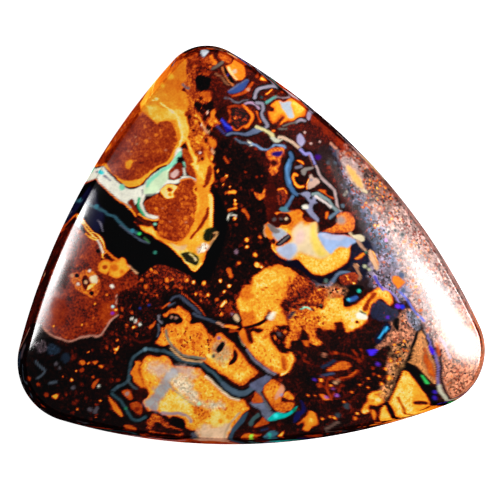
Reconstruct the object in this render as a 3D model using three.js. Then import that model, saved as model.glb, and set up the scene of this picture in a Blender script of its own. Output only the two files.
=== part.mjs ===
// A polished freeform cabochon of boulder opal: one piece of ironstone with opal in its seams, ground to
// a rounded triangle with a flat back, a leaning side wall and a low domed face.
// Millimetres. The back lies on Z = 0, +Z is up out of the face, X runs along the long lower side, and the
// origin is under the middle of the stone's bounding box.
import * as THREE from 'three';

// Driving dimensions of the outline: where each corner's arc is centred, and its radius
const APEX = { x: -3.75, y: 13.15, radius: 3.9 };
const LEFT_CORNER = { x: -14.8, y: -10.0, radius: 5.15 };
const RIGHT_CORNER = { x: 15.15, y: -9.0, radius: 4.95 };

// Radii of the three long sides, shallow arcs that run smoothly into the corners
const LEFT_SIDE_RADIUS = 57.5;
const LOWER_SIDE_RADIUS = 52;
const RIGHT_SIDE_RADIUS = 52;

// Driving dimensions of the section, from the back up
const BACK_CHAMFER = 0.3; // width and height of the bevel round the back
const WALL_TOP = 3.0; // height where the leaning wall meets the face
const WALL_LEAN = 0.45; // how far the wall leans in between the chamfer and its top
const EDGE_ROUNDING = 0.2; // radius of the softened edge between wall and face
const DOME_RISE = 2.5; // how far the middle of the face stands above its edge
const DOME_POWER = 4; // a high power keeps the middle flat and turns the face down near its edge

// How finely the curves are stepped
const CORNER_STEPS = 14;
const SIDE_STEPS = 26;
const ROUNDING_STEPS = 3;
const DOME_STEPS = 16;

// The centre of a long side's circle, which touches both corner circles from outside and has the stone
// on its inner side. The corners are taken clockwise as seen from above.
function sideCentre(from, to, sideRadius) {
  const toFrom = sideRadius - from.radius;
  const toTo = sideRadius - to.radius;
  const apart = Math.hypot(to.x - from.x, to.y - from.y);
  const alongX = (to.x - from.x) / apart;
  const alongY = (to.y - from.y) / apart;
  const along = (toFrom ** 2 - toTo ** 2 + apart ** 2) / (2 * apart);
  const aside = Math.sqrt(toFrom ** 2 - along ** 2);
  return {
    x: from.x + alongX * along + alongY * aside,
    y: from.y + alongY * along - alongX * aside,
    radius: sideRadius,
  };
}

// The direction, as an angle, in which a long side's circle touches a corner's circle
function touchAngle(side, corner) {
  return Math.atan2(corner.y - side.y, corner.x - side.x);
}

// The outline's six arcs, clockwise: a corner, the side after it, and so on
function outlineArcs() {
  const corners = [APEX, RIGHT_CORNER, LEFT_CORNER];
  const sideRadii = [RIGHT_SIDE_RADIUS, LOWER_SIDE_RADIUS, LEFT_SIDE_RADIUS];
  const sides = corners.map((corner, i) => sideCentre(corner, corners[(i + 1) % 3], sideRadii[i]));
  const arcs = [];
  corners.forEach((corner, i) => {
    const next = corners[(i + 1) % 3];
    const sideBefore = sides[(i + 2) % 3];
    const side = sides[i];
    arcs.push({ circle: corner, start: touchAngle(sideBefore, corner), end: touchAngle(side, corner), steps: CORNER_STEPS });
    arcs.push({ circle: side, start: touchAngle(side, corner), end: touchAngle(side, next), steps: SIDE_STEPS });
  });
  return arcs;
}

// The outline moved inwards by an even distance, as points with as many steps whatever the distance
function outlineRing(arcs, inset) {
  const points = [];
  for (const { circle, start, end, steps } of arcs) {
    const turn = THREE.MathUtils.euclideanModulo(start - end, 2 * Math.PI);
    for (let step = 0; step < steps; step += 1) {
      const angle = start - (turn * step) / steps;
      const radius = circle.radius - inset;
      points.push(new THREE.Vector2(circle.x + radius * Math.cos(angle), circle.y + radius * Math.sin(angle)));
    }
  }
  return points;
}

// Rings of the surface from the back's rim up to the last ring round the top of the dome
function surfaceRings(arcs, middle) {
  const ringAt = (inset, height) => outlineRing(arcs, inset).map(({ x, y }) => new THREE.Vector3(x, y, height));
  const rings = [ringAt(BACK_CHAMFER, 0), ringAt(0, BACK_CHAMFER)];
  const roundingStart = WALL_TOP - EDGE_ROUNDING;
  for (let step = 0; step < ROUNDING_STEPS; step += 1) {
    const turn = (step / ROUNDING_STEPS) * (Math.PI / 2);
    const inset = WALL_LEAN + EDGE_ROUNDING * (1 - Math.cos(turn));
    rings.push(ringAt(inset, roundingStart + EDGE_ROUNDING * Math.sin(turn)));
  }
  const faceEdge = outlineRing(arcs, WALL_LEAN + EDGE_ROUNDING);
  for (let step = 0; step < DOME_STEPS; step += 1) {
    const reach = Math.cos((step / DOME_STEPS) * (Math.PI / 2));
    const height = WALL_TOP + DOME_RISE * (1 - reach ** DOME_POWER);
    rings.push(faceEdge.map((point) => {
      const { x, y } = point.clone().lerp(middle, 1 - reach);
      return new THREE.Vector3(x, y, height);
    }));
  }
  return rings;
}

// The stone as one closed body: the rings joined in bands, with a fan of triangles over the back and the top
function stoneGeometry() {
  const arcs = outlineArcs();
  const outline = outlineRing(arcs, 0);
  const box = new THREE.Box2().setFromPoints(outline);
  const boxMiddle = box.getCenter(new THREE.Vector2());
  const middle = outline.reduce((sum, point) => sum.add(point), new THREE.Vector2()).divideScalar(outline.length);
  const rings = surfaceRings(arcs, middle);
  const around = outline.length;
  const positions = rings.flat().flatMap(({ x, y, z }) => [x, y, z]);
  positions.push(middle.x, middle.y, 0);
  positions.push(middle.x, middle.y, WALL_TOP + DOME_RISE);
  const backMiddle = rings.length * around;
  const topMiddle = backMiddle + 1;
  const lastRing = (rings.length - 1) * around;
  const triangles = [];
  for (let i = 0; i < around; i += 1) {
    const next = (i + 1) % around;
    triangles.push(backMiddle, i, next);
    triangles.push(topMiddle, lastRing + next, lastRing + i);
    for (let start = 0; start < lastRing; start += around) {
      triangles.push(start + i, start + around + i, start + next);
      triangles.push(start + next, start + around + i, start + around + next);
    }
  }
  const geometry = new THREE.BufferGeometry();
  geometry.setAttribute('position', new THREE.Float32BufferAttribute(positions, 3));
  geometry.setIndex(triangles);
  geometry.translate(-boxMiddle.x, -boxMiddle.y, 0);
  geometry.computeVertexNormals();
  return geometry;
}

// Polished ironstone, its darkest and commonest colour
const ironstone = new THREE.MeshStandardMaterial({ color: 0x6e2a10, roughness: 0.25, metalness: 0 });

const stone = new THREE.Mesh(stoneGeometry(), ironstone);
stone.name = 'boulder_opal';

const part = new THREE.Group();
part.add(stone);

export default part;
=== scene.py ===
"""Polished boulder opal: the looks of the stone, and the table, lights and camera of the picture.

The stone is one closed mesh, the same shape as its solid but fine enough to carry its markings. Each
marking is an outline, a vein or a spot, traced in the picture's own 500 by 500 pixels and painted on the
points of the mesh where the picture's camera sees them.
"""

import math
from functools import partialmethod

import bmesh
import bpy
import numpy as np
from bpy.props import FloatProperty, FloatVectorProperty, IntProperty, PointerProperty
from mathutils import Matrix, Quaternion, Vector


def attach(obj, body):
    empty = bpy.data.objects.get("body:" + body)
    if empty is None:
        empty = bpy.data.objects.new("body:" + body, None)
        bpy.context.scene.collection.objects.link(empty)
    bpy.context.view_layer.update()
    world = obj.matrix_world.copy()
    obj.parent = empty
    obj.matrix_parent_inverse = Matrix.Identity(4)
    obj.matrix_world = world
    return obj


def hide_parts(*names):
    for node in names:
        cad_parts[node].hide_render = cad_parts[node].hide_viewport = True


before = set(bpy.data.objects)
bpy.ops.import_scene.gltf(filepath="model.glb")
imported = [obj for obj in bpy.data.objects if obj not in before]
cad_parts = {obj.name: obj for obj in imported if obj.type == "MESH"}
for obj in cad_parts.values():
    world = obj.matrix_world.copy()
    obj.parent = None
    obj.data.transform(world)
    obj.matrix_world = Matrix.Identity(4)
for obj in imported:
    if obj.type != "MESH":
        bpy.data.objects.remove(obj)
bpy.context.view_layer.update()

bl_info = {
    "name": "Polished boulder opal",
    "version": (1, 0, 0),
    "blender": (4, 5, 0),
    "location": "3D View > Sidebar > Opal",
    "description": "Builds a polished boulder opal and the table, lights and camera of its picture",
    "category": "Object",
}

NODE = "boulder_opal"
MM = 0.001
PICTURE_SIZE = 500

# The outline of the stone, in millimetres: three round corners, clockwise from above, each as its centre
# and radius, and the radius of the long bowed side that follows each of them.
APEX = (-3.75, 13.15, 3.9)
RIGHT_CORNER = (15.15, -9.0, 4.95)
LEFT_CORNER = (-14.8, -10.0, 5.15)
RIGHT_SIDE_RADIUS = 52
LOWER_SIDE_RADIUS = 52
LEFT_SIDE_RADIUS = 57.5

# Iron tones: where a colour lies on the scale from black through rust and yellow to cream.
BLACK = 0.0
DARK_BROWN = 0.12
MAROON = 0.22
DEEP_RED = 0.27
RED_BROWN = 0.34
RUST = 0.44
BROWN_ORANGE = 0.52
ORANGE = 0.60
AMBER = 0.72
YELLOW = 0.84
LEMON = 0.88
PALE_YELLOW = 0.92
CREAM = 1.0

# Opal colours, as displayed, from 0 to 255.
NAVY = (12, 16, 45)
WHITE = (255, 248, 228)
PEACH = (240, 175, 125)
LILAC = (165, 158, 190)
GREY_LILAC = (135, 130, 150)
GREY = (120, 120, 125)
BLUE_GREY = (75, 85, 105)
STEEL_BLUE = (70, 108, 152)
MINT = (150, 238, 200)
CYAN = (60, 235, 240)
GREEN = (60, 225, 110)
PLUM = (44, 24, 26)
GRIT_PINK = (184, 152, 144)

IRON_SCALE = [
    (BLACK, (3, 3, 4)), (DARK_BROWN, (26, 5, 4)), (MAROON, (72, 10, 5)), (RED_BROWN, (142, 34, 5)),
    (RUST, (176, 58, 10)), (BROWN_ORANGE, (208, 88, 18)), (ORANGE, (236, 116, 20)), (AMBER, (248, 150, 32)),
    (YELLOW, (255, 192, 52)), (PALE_YELLOW, (255, 226, 112)), (CREAM, (252, 226, 172)),
]


def linear(colour):
    """A displayed colour, from 0 to 255, as linear light."""
    c = np.array(colour, float) / 255
    return np.where(c <= 0.04045, c / 12.92, ((c + 0.055) / 1.055) ** 2.4)


# Outline

def side_centre(start, end, radius):
    """The centre of the bowed side that touches two corner circles from inside."""
    to_start, to_end = radius - start[2], radius - end[2]
    apart = math.hypot(end[0] - start[0], end[1] - start[1])
    ux, uy = (end[0] - start[0]) / apart, (end[1] - start[1]) / apart
    along = (to_start ** 2 - to_end ** 2 + apart ** 2) / (2 * apart)
    aside = math.sqrt(to_start ** 2 - along ** 2)
    return start[0] + ux * along + uy * aside, start[1] + uy * along - ux * aside, radius


def outline_arcs():
    """Six arcs, clockwise from above: centre, radius, first angle and how far each turns."""
    corners = [APEX, RIGHT_CORNER, LEFT_CORNER]
    radii = [RIGHT_SIDE_RADIUS, LOWER_SIDE_RADIUS, LEFT_SIDE_RADIUS]
    sides = [side_centre(corners[i], corners[(i + 1) % 3], radii[i]) for i in range(3)]

    def touch(side, corner):
        return math.atan2(corner[1] - side[1], corner[0] - side[0])

    arcs = []
    for i, corner in enumerate(corners):
        side = sides[i]
        angles = touch(sides[i - 1], corner), touch(side, corner), touch(side, corners[(i + 1) % 3])
        arcs.append((*corner, angles[0], (angles[0] - angles[1]) % math.tau))
        arcs.append((*side, angles[1], (angles[1] - angles[2]) % math.tau))
    return np.array(arcs)


def outline_points(share, inset):
    """Points on the outline moved in by inset, in millimetres, at a share from 0 to 1 of the way round."""
    arcs = outline_arcs()
    lengths = arcs[:, 2] * arcs[:, 4]
    ends = np.cumsum(lengths) / lengths.sum()
    which = np.clip(np.searchsorted(ends, share, side="right"), 0, len(arcs) - 1)
    starts = np.append(0, ends[:-1])
    part = (share - starts[which]) / (ends[which] - starts[which])
    arc = arcs[which]
    angle = arc[:, 3] - arc[:, 4] * part
    radius = arc[:, 2] - inset
    return np.column_stack([arc[:, 0] + radius * np.cos(angle), arc[:, 1] + radius * np.sin(angle)])


def outline_box_middle():
    """The middle of the outline's box, where the frame has its origin."""
    ring = outline_points(np.linspace(0, 1, 4001)[:-1], 0.0)
    return (ring.min(0) + ring.max(0)) / 2


# Painting

# Straight steps between two points of a marking, and the pixels over which its edge fades if it gives none.
CURVE_STEPS = 4
SOFT_EDGE = 1.6


def read_points(text):
    """The points of a marking, with a width as a third number where one is given."""
    return np.array([[float(n) for n in point.split(",")] for point in text.split()])


def smooth_line(points, closed):
    """A line through the points that bends evenly at each of them."""
    if len(points) < 3:
        return points
    if closed:
        before, start = np.roll(points, 1, 0), points
        after, last = np.roll(points, -1, 0), np.roll(points, -2, 0)
    else:
        before, start = np.vstack([points[:1], points[:-2]]), points[:-1]
        after, last = points[1:], np.vstack([points[2:], points[-1:]])
    pieces = []
    for step in range(CURVE_STEPS):
        t = step / CURVE_STEPS
        pieces.append(0.5 * (2 * start + (after - before) * t
                             + (2 * before - 5 * start + 4 * after - last) * t ** 2
                             + (3 * start - before - 3 * after + last) * t ** 3))
    line = np.stack(pieces, 1).reshape(-1, points.shape[1])
    return line if closed else np.vstack([line, points[-1:]])


def value_noise(x, y, size, seed):
    """Smooth noise from -1 to 1, with one value at each corner of squares of the given size.

    A value is what follows the point in a large sine, so it looks random but never changes.
    """
    u, v = x / size + 17.3 * seed, y / size - 9.1 * seed
    i, j = np.floor(u), np.floor(v)
    f, g = u - i, v - j
    f, g = f * f * (3 - 2 * f), g * g * (3 - 2 * g)

    def corner(a, b):
        return (np.sin(a * 127.1 + b * 311.7 + seed * 74.7) * 43758.5453) % 1 * 2 - 1

    low = corner(i, j) * (1 - f) + corner(i + 1, j) * f
    high = corner(i, j + 1) * (1 - f) + corner(i + 1, j + 1) * f
    return low * (1 - g) + high * g


class Canvas:
    """The stone's points, in picture pixels, and their paint: tone, opal colour and cover, mottle and grit.

    The edges of markings waver by up to 0.6 pixels. Rough makes them ragged, and cloud varies the tones.
    The name given with a marking only says what it is.
    """

    def __init__(self, x, y):
        self.x = x + 0.6 * value_noise(x, y, 6.0, 1)
        self.y = y + 0.6 * value_noise(x, y, 6.0, 2)
        self.iron = np.full(len(x), DARK_BROWN)
        self.opal = np.zeros((len(x), 4))
        self.mottle = np.full(len(x), 0.03)
        self.grit = np.zeros(len(x))
        self.rough = value_noise(x, y, 4.0, 3) * 0.6 + value_noise(x, y, 1.8, 5) * 0.4
        self.cloud = value_noise(x, y, 9.0, 7) * 0.55 + value_noise(x, y, 3.6, 11) * 0.45

    def near(self, points, reach):
        """Those of the stone's points that lie within reach of the box round these."""
        low, high = points[:, :2].min(0) - reach, points[:, :2].max(0) + reach
        return np.flatnonzero((self.x > low[0]) & (self.x < high[0]) & (self.y > low[1]) & (self.y < high[1]))

    def lay(self, chosen, depth, tone, soft=SOFT_EDGE, ragged=0.5, mottle=0.08, grit=0.0, strength=1.0,
            cloud=0.07, stain=0.0):
        """Mix a tone into the chosen points. A number is an iron tone, and a triple is an opal colour.

        Cloud is how much an iron tone varies from place to place, with three times that for opal's light,
        and stain is how far the tone sinks within 5 pixels of the edge.
        """
        t = np.clip((depth + ragged * self.rough[chosen]) / soft + 0.5, 0, 1)
        cover = t * t * (3 - 2 * t) * strength
        varied = self.cloud[chosen] * cloud
        if isinstance(tone, tuple):
            colour = linear(tone) * (1 + 3 * varied[:, None])
            paint = np.column_stack([colour, np.ones(len(chosen))])
            self.opal[chosen] += (paint - self.opal[chosen]) * cover[:, None]
        else:
            near_edge = np.clip(1 - depth / 5 + 0.7 * self.cloud[chosen], 0, 1)
            sought = tone + varied * min(1, 3 * tone) - stain * near_edge ** 2
            self.opal[chosen] *= (1 - cover)[:, None]
            self.iron[chosen] += (sought - self.iron[chosen]) * cover
        self.mottle[chosen] += (mottle - self.mottle[chosen]) * cover
        self.grit[chosen] += (grit - self.grit[chosen]) * cover

    def patch(self, name, tone, text, **how):
        """Fill a closed outline."""
        outline = smooth_line(read_points(text), True)
        chosen = self.near(outline, how.get("soft", SOFT_EDGE) + how.get("ragged", 0))
        px, py = self.x[chosen][:, None], self.y[chosen][:, None]
        ax, ay = outline[:, 0], outline[:, 1]
        bx, by = np.roll(ax, -1), np.roll(ay, -1)
        dx, dy = bx - ax, by - ay
        t = np.clip(((px - ax) * dx + (py - ay) * dy) / (dx * dx + dy * dy + 1e-9), 0, 1)
        away = np.hypot(px - ax - dx * t, py - ay - dy * t).min(1)
        crosses = ((ay > py) != (by > py)) & (px < ax + dx * (py - ay) / np.where(dy == 0, 1e-9, dy))
        inside = crosses.sum(1) % 2 == 1
        self.lay(chosen, np.where(inside, away, -away), tone, **how)

    def vein(self, name, tone, text, width=2.0, border=0.0, **how):
        """Draw a line of that width, or of the width each point gives. A border is black on both sides."""
        points = read_points(text)
        if points.shape[1] == 2:
            points = np.column_stack([points, np.full(len(points), width)])
        if border:
            self.line(points + (0, 0, 2 * border), BLACK, strength=0.85, ragged=1.0)
        self.line(points, tone, **how)

    def line(self, points, tone, **how):
        """Draw a line through points with its width as their third number."""
        line = smooth_line(points, False)
        chosen = self.near(line, line[:, 2].max() / 2 + how.get("soft", SOFT_EDGE) + how.get("ragged", 0))
        px, py = self.x[chosen][:, None], self.y[chosen][:, None]
        a, b = line[:-1], line[1:]
        dx, dy = b[:, 0] - a[:, 0], b[:, 1] - a[:, 1]
        t = np.clip(((px - a[:, 0]) * dx + (py - a[:, 1]) * dy) / (dx * dx + dy * dy + 1e-9), 0, 1)
        half = (a[:, 2] + (b[:, 2] - a[:, 2]) * t) / 2
        depth = (half - np.hypot(px - a[:, 0] - dx * t, py - a[:, 1] - dy * t)).max(1)
        self.lay(chosen, depth, tone, **how)

    def spots(self, name, tone, text, **how):
        """Dots, each given as x, y and its width."""
        for x, y, width in read_points(text):
            chosen = self.near(np.array([[x, y]]), width / 2 + how.get("soft", SOFT_EDGE))
            depth = width / 2 - np.hypot(self.x[chosen] - x, self.y[chosen] - y)
            self.lay(chosen, depth, tone, **how)


def paint_grounds(c):
    """The large plain areas under the other markings."""
    c.patch("whole stone", DARK_BROWN, "0,0 500,0 500,500 0,500", grit=0.15)
    c.patch("upper brown", 0.19, "187,50 200,47 218,50 240,58 262,72 290,92 320,118 345,143 352,150 342,160 "
            "334,150 312,152 292,138 262,126 240,106 226,104 215,110 203,112 197,100 196,78 190,66", soft=5,
            ragged=3, mottle=0.12, grit=0.14)
    c.vein("right rim", 0.3, "300,104 350,150", width=10, soft=4, mottle=0.1)
    c.patch("central maroon", 0.15, "228,104 262,122 288,140 292,200 262,212 228,208 216,150", soft=8,
            ragged=3, mottle=0.1, grit=0.2)
    c.patch("lower left black", 0.02, "40,345 80,340 120,300 150,280 240,262 262,300 246,345 160,345 130,365 "
            "134,400 120,440 20,400 15,350", soft=5, ragged=2, mottle=0.04, grit=0.3)
    c.patch("belt of grit", 0.11, "132,266 150,268 176,270 206,276 222,262 232,244 262,250 272,262 256,280 "
            "242,292 240,312 226,318 204,306 186,292 166,294 146,304 124,312 116,296 130,288", soft=7,
            ragged=3, mottle=0.12, grit=0.85)
    c.patch("black column", 0.03, "214,150 246,150 268,180 272,250 262,272 244,292 214,300 206,262", soft=6,
            ragged=3, grit=0.4)
    c.patch("grit left of A", 0.05, "116,298 138,292 164,302 158,320 150,334 130,344 112,352 98,348 106,330 "
            "118,316", soft=5, ragged=3, mottle=0.1, grit=0.6)
    c.patch("rusty belt", 0.2, "150,262 164,262 178,268 186,280 176,284 160,278 148,274", soft=6, ragged=3,
            mottle=0.2, grit=0.8)
    c.patch("black potch", BLACK, "88,182 97,180 103,187 121,202 127,206 134,214 137,218 134,222 142,231 "
            "155,237 165,245 178,255 190,268 196,272 203,263 208,250 216,236 215,226 214,190 222,200 228,225 "
            "222,250 212,275 200,285 190,275 170,267 155,265 140,275 131,268 128,263 122,257 116,259 108,252 "
            "105,245 104,237 99,237 93,232 84,221 76,213", mottle=0.01)
    c.patch("plum band", PLUM, "318,148 330,146 340,158 345,172 352,188 362,203 372,220 384,238 396,262 "
            "404,278 392,276 382,285 370,290 352,286 345,292 340,275 350,262 351,246 357,240 357,226 352,212 "
            "345,208 338,196 334,186 324,176 318,164", soft=4, ragged=2.5, mottle=0.1, grit=0.2, cloud=0.2)
    c.patch("maroon part of the plum band", 0.17, "322,160 336,170 346,190 356,206 362,222 352,216 340,200 "
            "326,182", soft=5, ragged=2, mottle=0.12, grit=0.2)
    c.patch("blue part of the plum band", (62, 78, 122), "360,208 372,214 386,238 400,262 394,274 380,262 "
            "368,242", soft=7, ragged=4, strength=0.8, mottle=0.3, grit=0.5, cloud=0.2)
    c.patch("lower right brown", 0.09, "290,345 345,330 400,330 440,400 400,428 300,432 270,400", soft=10,
            ragged=4, mottle=0.12, grit=0.25, cloud=0.3)
    c.patch("right-hand iron", 0.36, "338,154 352,149 376,168 410,208 440,246 466,290 486,340 484,380 "
            "450,404 438,352 414,308 398,268 371,222 347,184", soft=5, ragged=2, mottle=0.3, grit=0.5)
    c.patch("pink grit", GRIT_PINK, "340,158 345,150 352,149 365,160 405,204 436,244 464,292 476,318 484,348 "
            "483,368 476,384 464,394 452,400 446,391 443,380 438,352 430,336 424,322 414,308 404,292 402,280 "
            "398,268 388,250 378,236 371,222 355,194 347,184 342,172", soft=7, ragged=6, mottle=0.3,
            grit=0.85, cloud=0.22, strength=0.86)
    c.patch("brown top of the pink grit", (112, 66, 52), "342,156 352,150 374,169 398,196 388,206 370,200 "
            "354,188 344,174", soft=12, ragged=6, mottle=0.4, grit=1, strength=0.85, cloud=0.3)
    c.patch("orange-pink lower end", (214, 128, 84), "438,318 456,306 472,324 486,350 480,390 450,402 "
            "440,370", soft=12, ragged=5, mottle=0.4, grit=0.7, strength=0.8, cloud=0.16)
    c.patch("peach wedge", (196, 122, 88), "391,322 398,316 404,310 410,308 416,316 420,323 418,330 405,360 "
            "399,371 390,392 384,398 378,392 390,378 386,366 392,352 391,344 384,346 379,350 377,346 383,341 "
            "388,334", soft=3, ragged=2, mottle=0.3, grit=0.8)
    c.patch("maroon plate", MAROON, "263,186 275,186 276,212 270,224 266,214 264,200", ragged=1)


def paint_tip(c):
    """The pointed end, at the top of the picture."""
    c.patch("grey wedge", (205, 212, 222), "194,45 211,45 209,51 204,57 200,52")
    c.vein("grey-lilac rim", (185, 176, 178), "208,48.5 215,49 234,55 245,60", width=2.2)
    c.patch("rust by the wedge", 0.5, "189,51 195,49 198,53 197,58 194,60 189,57", mottle=0.15)
    c.patch("amber fleck", 0.7, "210,56 213,54 214,58 217,61 216,65 213,65 211,62")
    c.vein("grey lens", (110, 95, 85), "212,69 222,62", width=3)
    c.patch("rust streak", 0.5, "218,54 222,51 226,53 232,58 231,62 226,63 219,58", mottle=0.15)
    c.patch("tip amber patch", 0.69, "225,66 231,63 236,57 243,65 246,74 243,79 240,80 235,80 229,72")
    c.vein("cream streak in it", (255, 225, 150), "228,67 236,79")
    c.spots("its pale middle", (214, 184, 152), "235,71,4")
    c.vein("black crack", BLACK, "224,68 232,81", width=3)
    c.spots("violet glint", (70, 40, 150), "228,75,2")
    c.vein("peach line", (220, 120, 60), "222,67 227,79 233,85", width=1.5)
    c.vein("brown arc", (150, 92, 60), "216,74 221,77 225,82 229,85", width=1.6)
    c.patch("blue lens", (50, 75, 140), "228,92 232,90 244,81 248,80 249,82 242,90 232,94")
    c.vein("steel edge of the lens", (95, 105, 145), "229,91 244,81 248,80", width=1.4)
    c.vein("orange arc under the lens", BROWN_ORANGE, "233,96,2 240,94,4 246,91,4 250,87,3 253,82,2")
    c.spots("peach in the arc", (208, 145, 112), "248,90,3")
    c.vein("thin grey vein", (110, 110, 122), "225,98 230,99 234,102 239,103 243,101 248,100", width=1.3)
    c.vein("lilac arc", (160, 150, 166), "255,98 257,92 261,88 275,86 286,90", width=3, border=1.2)
    c.vein("second lilac arc", (190, 150, 180), "245,104 250,103 256,105 259,108", width=2.5, border=1.2)
    c.vein("lilac upright", (150, 142, 160), "257,103 262,104 263,110 262,115 267,125 264,128", width=3,
           border=1.2)
    c.patch("edge amber", LEMON, "260,79 265,74 272,80 266,81")
    c.vein("yellow fleck", 0.9, "266,94 272,90")
    c.spots("teal and rust dots", (40, 80, 80), "262,97,2.5")
    c.spots("rust dot", RUST, "282,92,2.5 257,76,3")
    c.vein("teal vein", (90, 160, 150), "267,103 273,98 276,97", width=3)
    c.vein("pink-grey line", (160, 130, 135), "276,97 284,98 292,96", width=1.3)
    c.vein("right side of the dark ring", 0.64, "243,106 249,111 252,117 250,123 246,127", width=3.5)
    c.vein("left side of the dark ring", 0.5, "229,110 231,116 229,122", width=3)
    c.vein("bottom of the dark ring", 0.56, "232,127 237,130 244,126", width=2.6)
    c.vein("top of the dark ring", 0.4, "228,107 235,106 241,107", width=2.4)
    c.patch("dark ring middle", 0.1, "232,110 240,108 246,113 248,119 244,125 236,127 231,121", soft=2.4,
            grit=0.7, mottle=0.2)
    c.vein("short orange stroke", ORANGE, "257,112 258,117 261,122")
    c.patch("orange by the column", 0.65, "210,111 213,109 216,112 215,116 217,120 220,124 214,126 210,125 "
            "207,121 210,117", mottle=0.12)
    c.patch("deep blue flash", (15, 15, 140), "221,119 231,127 232,134 229,136 226,131")
    c.vein("slate rim of the flash", (60, 60, 130), "210,119 226,135", width=1.6)
    c.vein("bright rim of the flash", (60, 70, 235), "221,120 226,125 231,128", width=1.6)
    c.vein("blue-grey vein", (100, 112, 142), "227,135,2 234,133,2.4 240,133,2.4 246,134,3 256,131,6 "
           "262,129,4", border=1.2)
    c.vein("cream vein", (230, 215, 150), "256,127 265,130 270,133 273,137", width=3)
    c.spots("orange glow", ORANGE, "273,131,4")
    c.patch("white fleck", WHITE, "247,140 251,142 253,145 250,146")
    c.vein("slate streak", (90, 105, 125), "236,139 241,142 246,143 250,145", width=2.2)
    c.vein("pale vein", (130, 160, 200), "252,144 257,146 262,149 268,150 272,148 275,145 280,145 285,148")


def paint_shoulder(c):
    """The amber shoulder with the column of grains beside it."""
    c.patch("amber shoulder", AMBER, "134,108 142,99 150,89 176,61 184,53 189,57 187,66 186,74 190,80 186,86 "
            "181,90 187,93 190,103 188,110 187,120 190,130 187,140 178,150 170,160 140,115 134,112",
            mottle=0.1, stain=0.06)
    c.patch("orange in the shoulder", 0.64, "166,74 176,66 184,66 186,76 182,86 180,98 186,106 176,104 "
            "166,92", soft=5, ragged=3)
    c.spots("cream glow", LEMON, "171,76,6 163,86,4", soft=4)
    c.patch("yellow zone", 0.87, "146,106 156,106 168,110 178,109 185,112 187,120 189,130 187,139 182,141 "
            "179,130 176,121 169,119 161,122 157,124.5 151,117", soft=3)
    # Painted shade: the two dark rims below run along the outline, where the edge turns down to the wall.
    c.vein("shoulder's dark rim", MAROON, "192,48 182,55 154,83")
    c.vein("rim below it", RED_BROWN, "146,93 120,128 111,142 104,150", width=3)
    c.patch("granular column", RUST, "188,57 201,58 210,58 212,66 208,76 198,78 197,90 210,92 210,104 "
            "198,106 200,114 212,118 218,124 212,128 212,136 217,142 214,150 213,160 214,172 213,184 206,188 "
            "200,186 196,178 194,165 196,158 191,145 190,134 190,104 186,92 184,84 187,76", soft=2,
            ragged=1.5, mottle=0.25, grit=0.5)
    c.patch("dark part of the column", 0.2, "190,60 199,59 208,64 209,74 200,74 191,70", soft=4, ragged=3,
            grit=0.6, strength=0.8)
    c.patch("column black", BLACK, "197,77 204,76 210,78 209,86 206,90 199,90 196,84", ragged=1)
    c.patch("lower column black", 0.05, "196,102 203,104 212,101 213,108 209,111 203,109 198,112 195,107",
            ragged=1.5)
    c.patch("column orange", 0.55, "200,92 206,91 209,93 211,99 202,98")
    c.spots("red-brown dots", RED_BROWN, "194,97,3 187,114,5")
    c.spots("dark gaps of the column", 0.12, "205,118,4 209,128,5 200,124,4 206,140,4 211,134,4 196,152,3 "
            "203,160,4 209,166,4 194,130,3 201,98,3", ragged=2)
    c.spots("yellow flecks of the column", 0.84, "201,108,3 206,112,3 210,120,3 204,133,3 198,142,4 "
            "208,147,3 200,167,3 206,155,3 196,122,3", ragged=2)
    c.vein("tan line", AMBER, "189,96 192,101 193,106", width=1.5)
    c.vein("grey line", GREY, "183,84 186,88 189,89", width=1.5)
    c.vein("cream line", LEMON, "195,116 199,118 205,128", width=2.3)
    c.vein("peach line", PEACH, "204,127 206,131 209,132")
    c.patch("small orange ring", 0.66, "210,138 215,139 217,143 216,147 212,147 209,142")
    c.vein("orange streak", 0.64, "203,140 207,155 209,160", width=2.2)
    c.vein("peach fleck", PEACH, "212,149 214,153")
    c.spots("white grains", WHITE, "207,112,1.8 200,153,1.8 202,125,2")
    c.vein("cream line on the amber", CREAM, "160,103 175,114 179,121 180,128 182,135 179,148")
    c.spots("cream dots", CREAM, "145,103,3.4 156.5,98.5,3.6 153,100,2")
    c.spots("pink-brown dot", (214, 130, 90), "147,100,4")


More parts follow.
